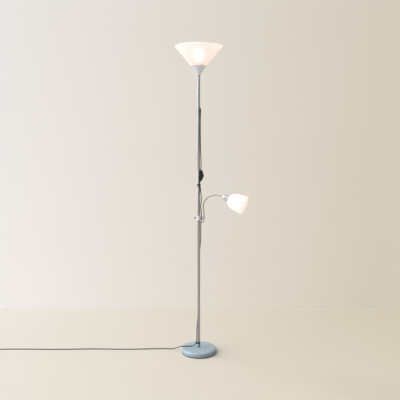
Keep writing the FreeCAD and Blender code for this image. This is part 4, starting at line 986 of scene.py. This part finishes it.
@dataclass
class Studio:
    """Pale floor and wall, soft lamps, and the camera of the photograph."""

    wall_distance: float = 0.826
    # Wall and floor colours darken from the lit left to the right: a painted falloff of
    # the light.
    wall_lit_left: str = "F6F2EF"
    wall_shaded_right: str = "E3DACC"
    wall_size: float = 6.0
    floor_lit_left: str = "BFBAB1"
    floor_shaded_right: str = "B1A999"
    floor_size: float = 9.0
    floor_drop_mm: float = 0.2
    blend_reach: float = 1.3
    lens: float = 47.88
    sensor: float = 36.0
    camera_place: Place = (0.0072, -3.06, 1.2686)
    pitch: float = 6.6
    sky: str = "F2F4F8"
    window_side: Place = (-0.86, 0.0, 0.51)
    window_edge: Spot = (0.74, 0.84)
    front_side: Place = (0.0, -0.6, 0.8)
    front_edge: Spot = (0.72, 0.9)
    screen_edge: Spot = (0.4, 0.95)
    room: float = 0.3
    window: float = 5.3
    screen: float = 0.5
    front: float = 0.62

    def plain(self, name: str, first: str, second: str) -> bpy.types.Material:
        """A matt one-sided surface whose colour changes slowly from left to right: a
        painted falloff of the light from the lit left side.

        Args:
            name: The material's name.
            first: Its colour on the left.
            second: Its colour on the right.

        Returns:
            A material that is clear from behind, so the lamp's back stays in sight.
        """
        material, tree, shader = new_material(name, {
            "Roughness": 0.95, "Specular IOR Level": 0.1})
        place = add_node(tree, "ShaderNodeTexCoord").outputs["Object"]
        axes = add_node(tree, "ShaderNodeSeparateXYZ", {"Vector": place})
        # The colour mix paints the light's falloff from the lit left to the right.
        share = add_node(tree, "ShaderNodeMapRange", {
            "Value": axes.outputs["X"], "From Min": -self.blend_reach,
            "From Max": self.blend_reach})
        colour = colour_mix(tree, share.outputs["Result"], first, second)
        tree.links.new(colour, shader.inputs["Base Color"])
        behind = add_node(tree, "ShaderNodeNewGeometry").outputs["Backfacing"]
        clear = add_node(tree, "ShaderNodeBsdfTransparent").outputs["BSDF"]
        one_sided = add_node(tree, "ShaderNodeMixShader", {
            0: behind, 1: shader.outputs["BSDF"], 2: clear})
        tree.links.new(one_sided.outputs["Shader"],
                       tree.nodes["Material Output"].inputs["Surface"])
        return material

    def sheet(self, name: str, place: Matrix, size: float,
              material: bpy.types.Material) -> None:
        """Sets up one large flat of the stage.

        Args:
            name: Its name.
            place: Its middle and turn, in metres.
            size: Half its side.
            material: Its surface.
        """
        bm = bmesh.new()
        bmesh.ops.create_grid(bm, x_segments=1, y_segments=1, size=size, matrix=place)
        mesh = bpy.data.meshes.new(name)
        bm.to_mesh(mesh)
        bm.free()
        flat = bpy.data.objects.new(name, mesh)
        bpy.context.scene.collection.objects.link(flat)
        dress(flat, material)
        flat.visible_shadow = False

    def sun(self, name: str, way: Place, strength: float, spread: float) -> None:
        """A soft even light.

        Args:
            name: Its name.
            way: The direction in which it shines.
            strength: Watts on each square metre.
            spread: Degrees across which it comes.
        """
        data = bpy.data.lights.new(name, "SUN")
        data.energy = strength
        data.angle = math.radians(spread)
        lamp = bpy.data.objects.new(name, data)
        lamp.rotation_euler = Vector(way).to_track_quat("-Z", "Y").to_euler()
        bpy.context.scene.collection.objects.link(lamp)

    def build(self) -> None:
        """Sets the stage, the light and the camera."""
        floor = Matrix.Translation((0, 0, -self.floor_drop_mm * MM))
        self.sheet("floor", floor, self.floor_size,
                   self.plain("floor_matt", self.floor_lit_left, self.floor_shaded_right))
        wall = Matrix.Translation((0, self.wall_distance, self.wall_size))
        upright = Matrix.Rotation(math.radians(90), 4, "X")
        self.sheet("wall", wall @ upright, self.wall_size,
                   self.plain("wall_matt", self.wall_lit_left, self.wall_shaded_right))
        self.sun("key", way=(0.5, -0.3, -0.8), strength=1.0, spread=14)
        self.light_world()
        self.place_camera()

    def light_world(self) -> None:
        """Lights the room: an even glow, a window, a soft front light and a screen."""
        world = bpy.data.worlds.new("studio")
        bpy.context.scene.world = world
        world.use_nodes = True
        tree = world.node_tree
        background = tree.nodes["Background"]
        background.inputs["Color"].default_value = linear(self.sky)
        way = add_node(tree, "ShaderNodeTexCoord").outputs["Generated"]
        axes = add_node(tree, "ShaderNodeSeparateXYZ", {"Vector": way})
        leftward, forward = [
            add_node(tree, "ShaderNodeVectorMath", {0: way, 1: side},
                     operation="DOT_PRODUCT").outputs["Value"]
            for side in (self.window_side, self.front_side)]
        glow = self.room
        for share, (first, last), top in (
                (leftward, self.window_edge, self.window),
                (forward, self.front_edge, self.front),
                (axes.outputs["X"], self.screen_edge, self.screen)):
            part = add_node(tree, "ShaderNodeMapRange", {
                "Value": share, "From Min": first, "From Max": last, "To Max": top},
                interpolation_type="SMOOTHSTEP")
            glow = add_node(tree, "ShaderNodeMath", {
                0: glow, 1: part.outputs["Result"]}).outputs["Value"]
        tree.links.new(glow, background.inputs["Strength"])

    def place_camera(self) -> None:
        """Sets up the photograph's camera and plain colours."""
        data = bpy.data.cameras.new("photo_camera")
        data.lens = self.lens
        data.sensor_width = self.sensor
        camera = bpy.data.objects.new("photo_camera", data)
        camera.location = self.camera_place
        camera.rotation_euler = (math.radians(90 - self.pitch), 0, 0)
        bpy.context.scene.collection.objects.link(camera)
        bpy.context.scene.camera = camera
        bpy.context.scene.view_settings.view_transform = "Standard"


def main() -> None:
    """Builds the set, then the lamp from its foot to its plug."""
    logging.basicConfig(level=logging.INFO, format="%(name)s: %(message)s")
    Studio().build()
    silver = SILVER_LACQUER.material()
    chrome = BRIGHT_CHROME.material()
    sheath = PVC_SHEATH.material()
    Base().build(silver)
    Pole().build()
    Uplight().build(LIT_CUP_LACQUER.material())
    Fittings().build(BLACK_ABS.material(), sheath)
    neck = Gooseneck()
    head_start = neck.build(chrome)
    head_place = along(neck.towards(neck.headings[-1]), head_start)
    ReadingHead().build(head_place, CAN_NICKEL.material(), chrome)
    Cords().build(sheath)


if __name__ == "__main__":
    main()
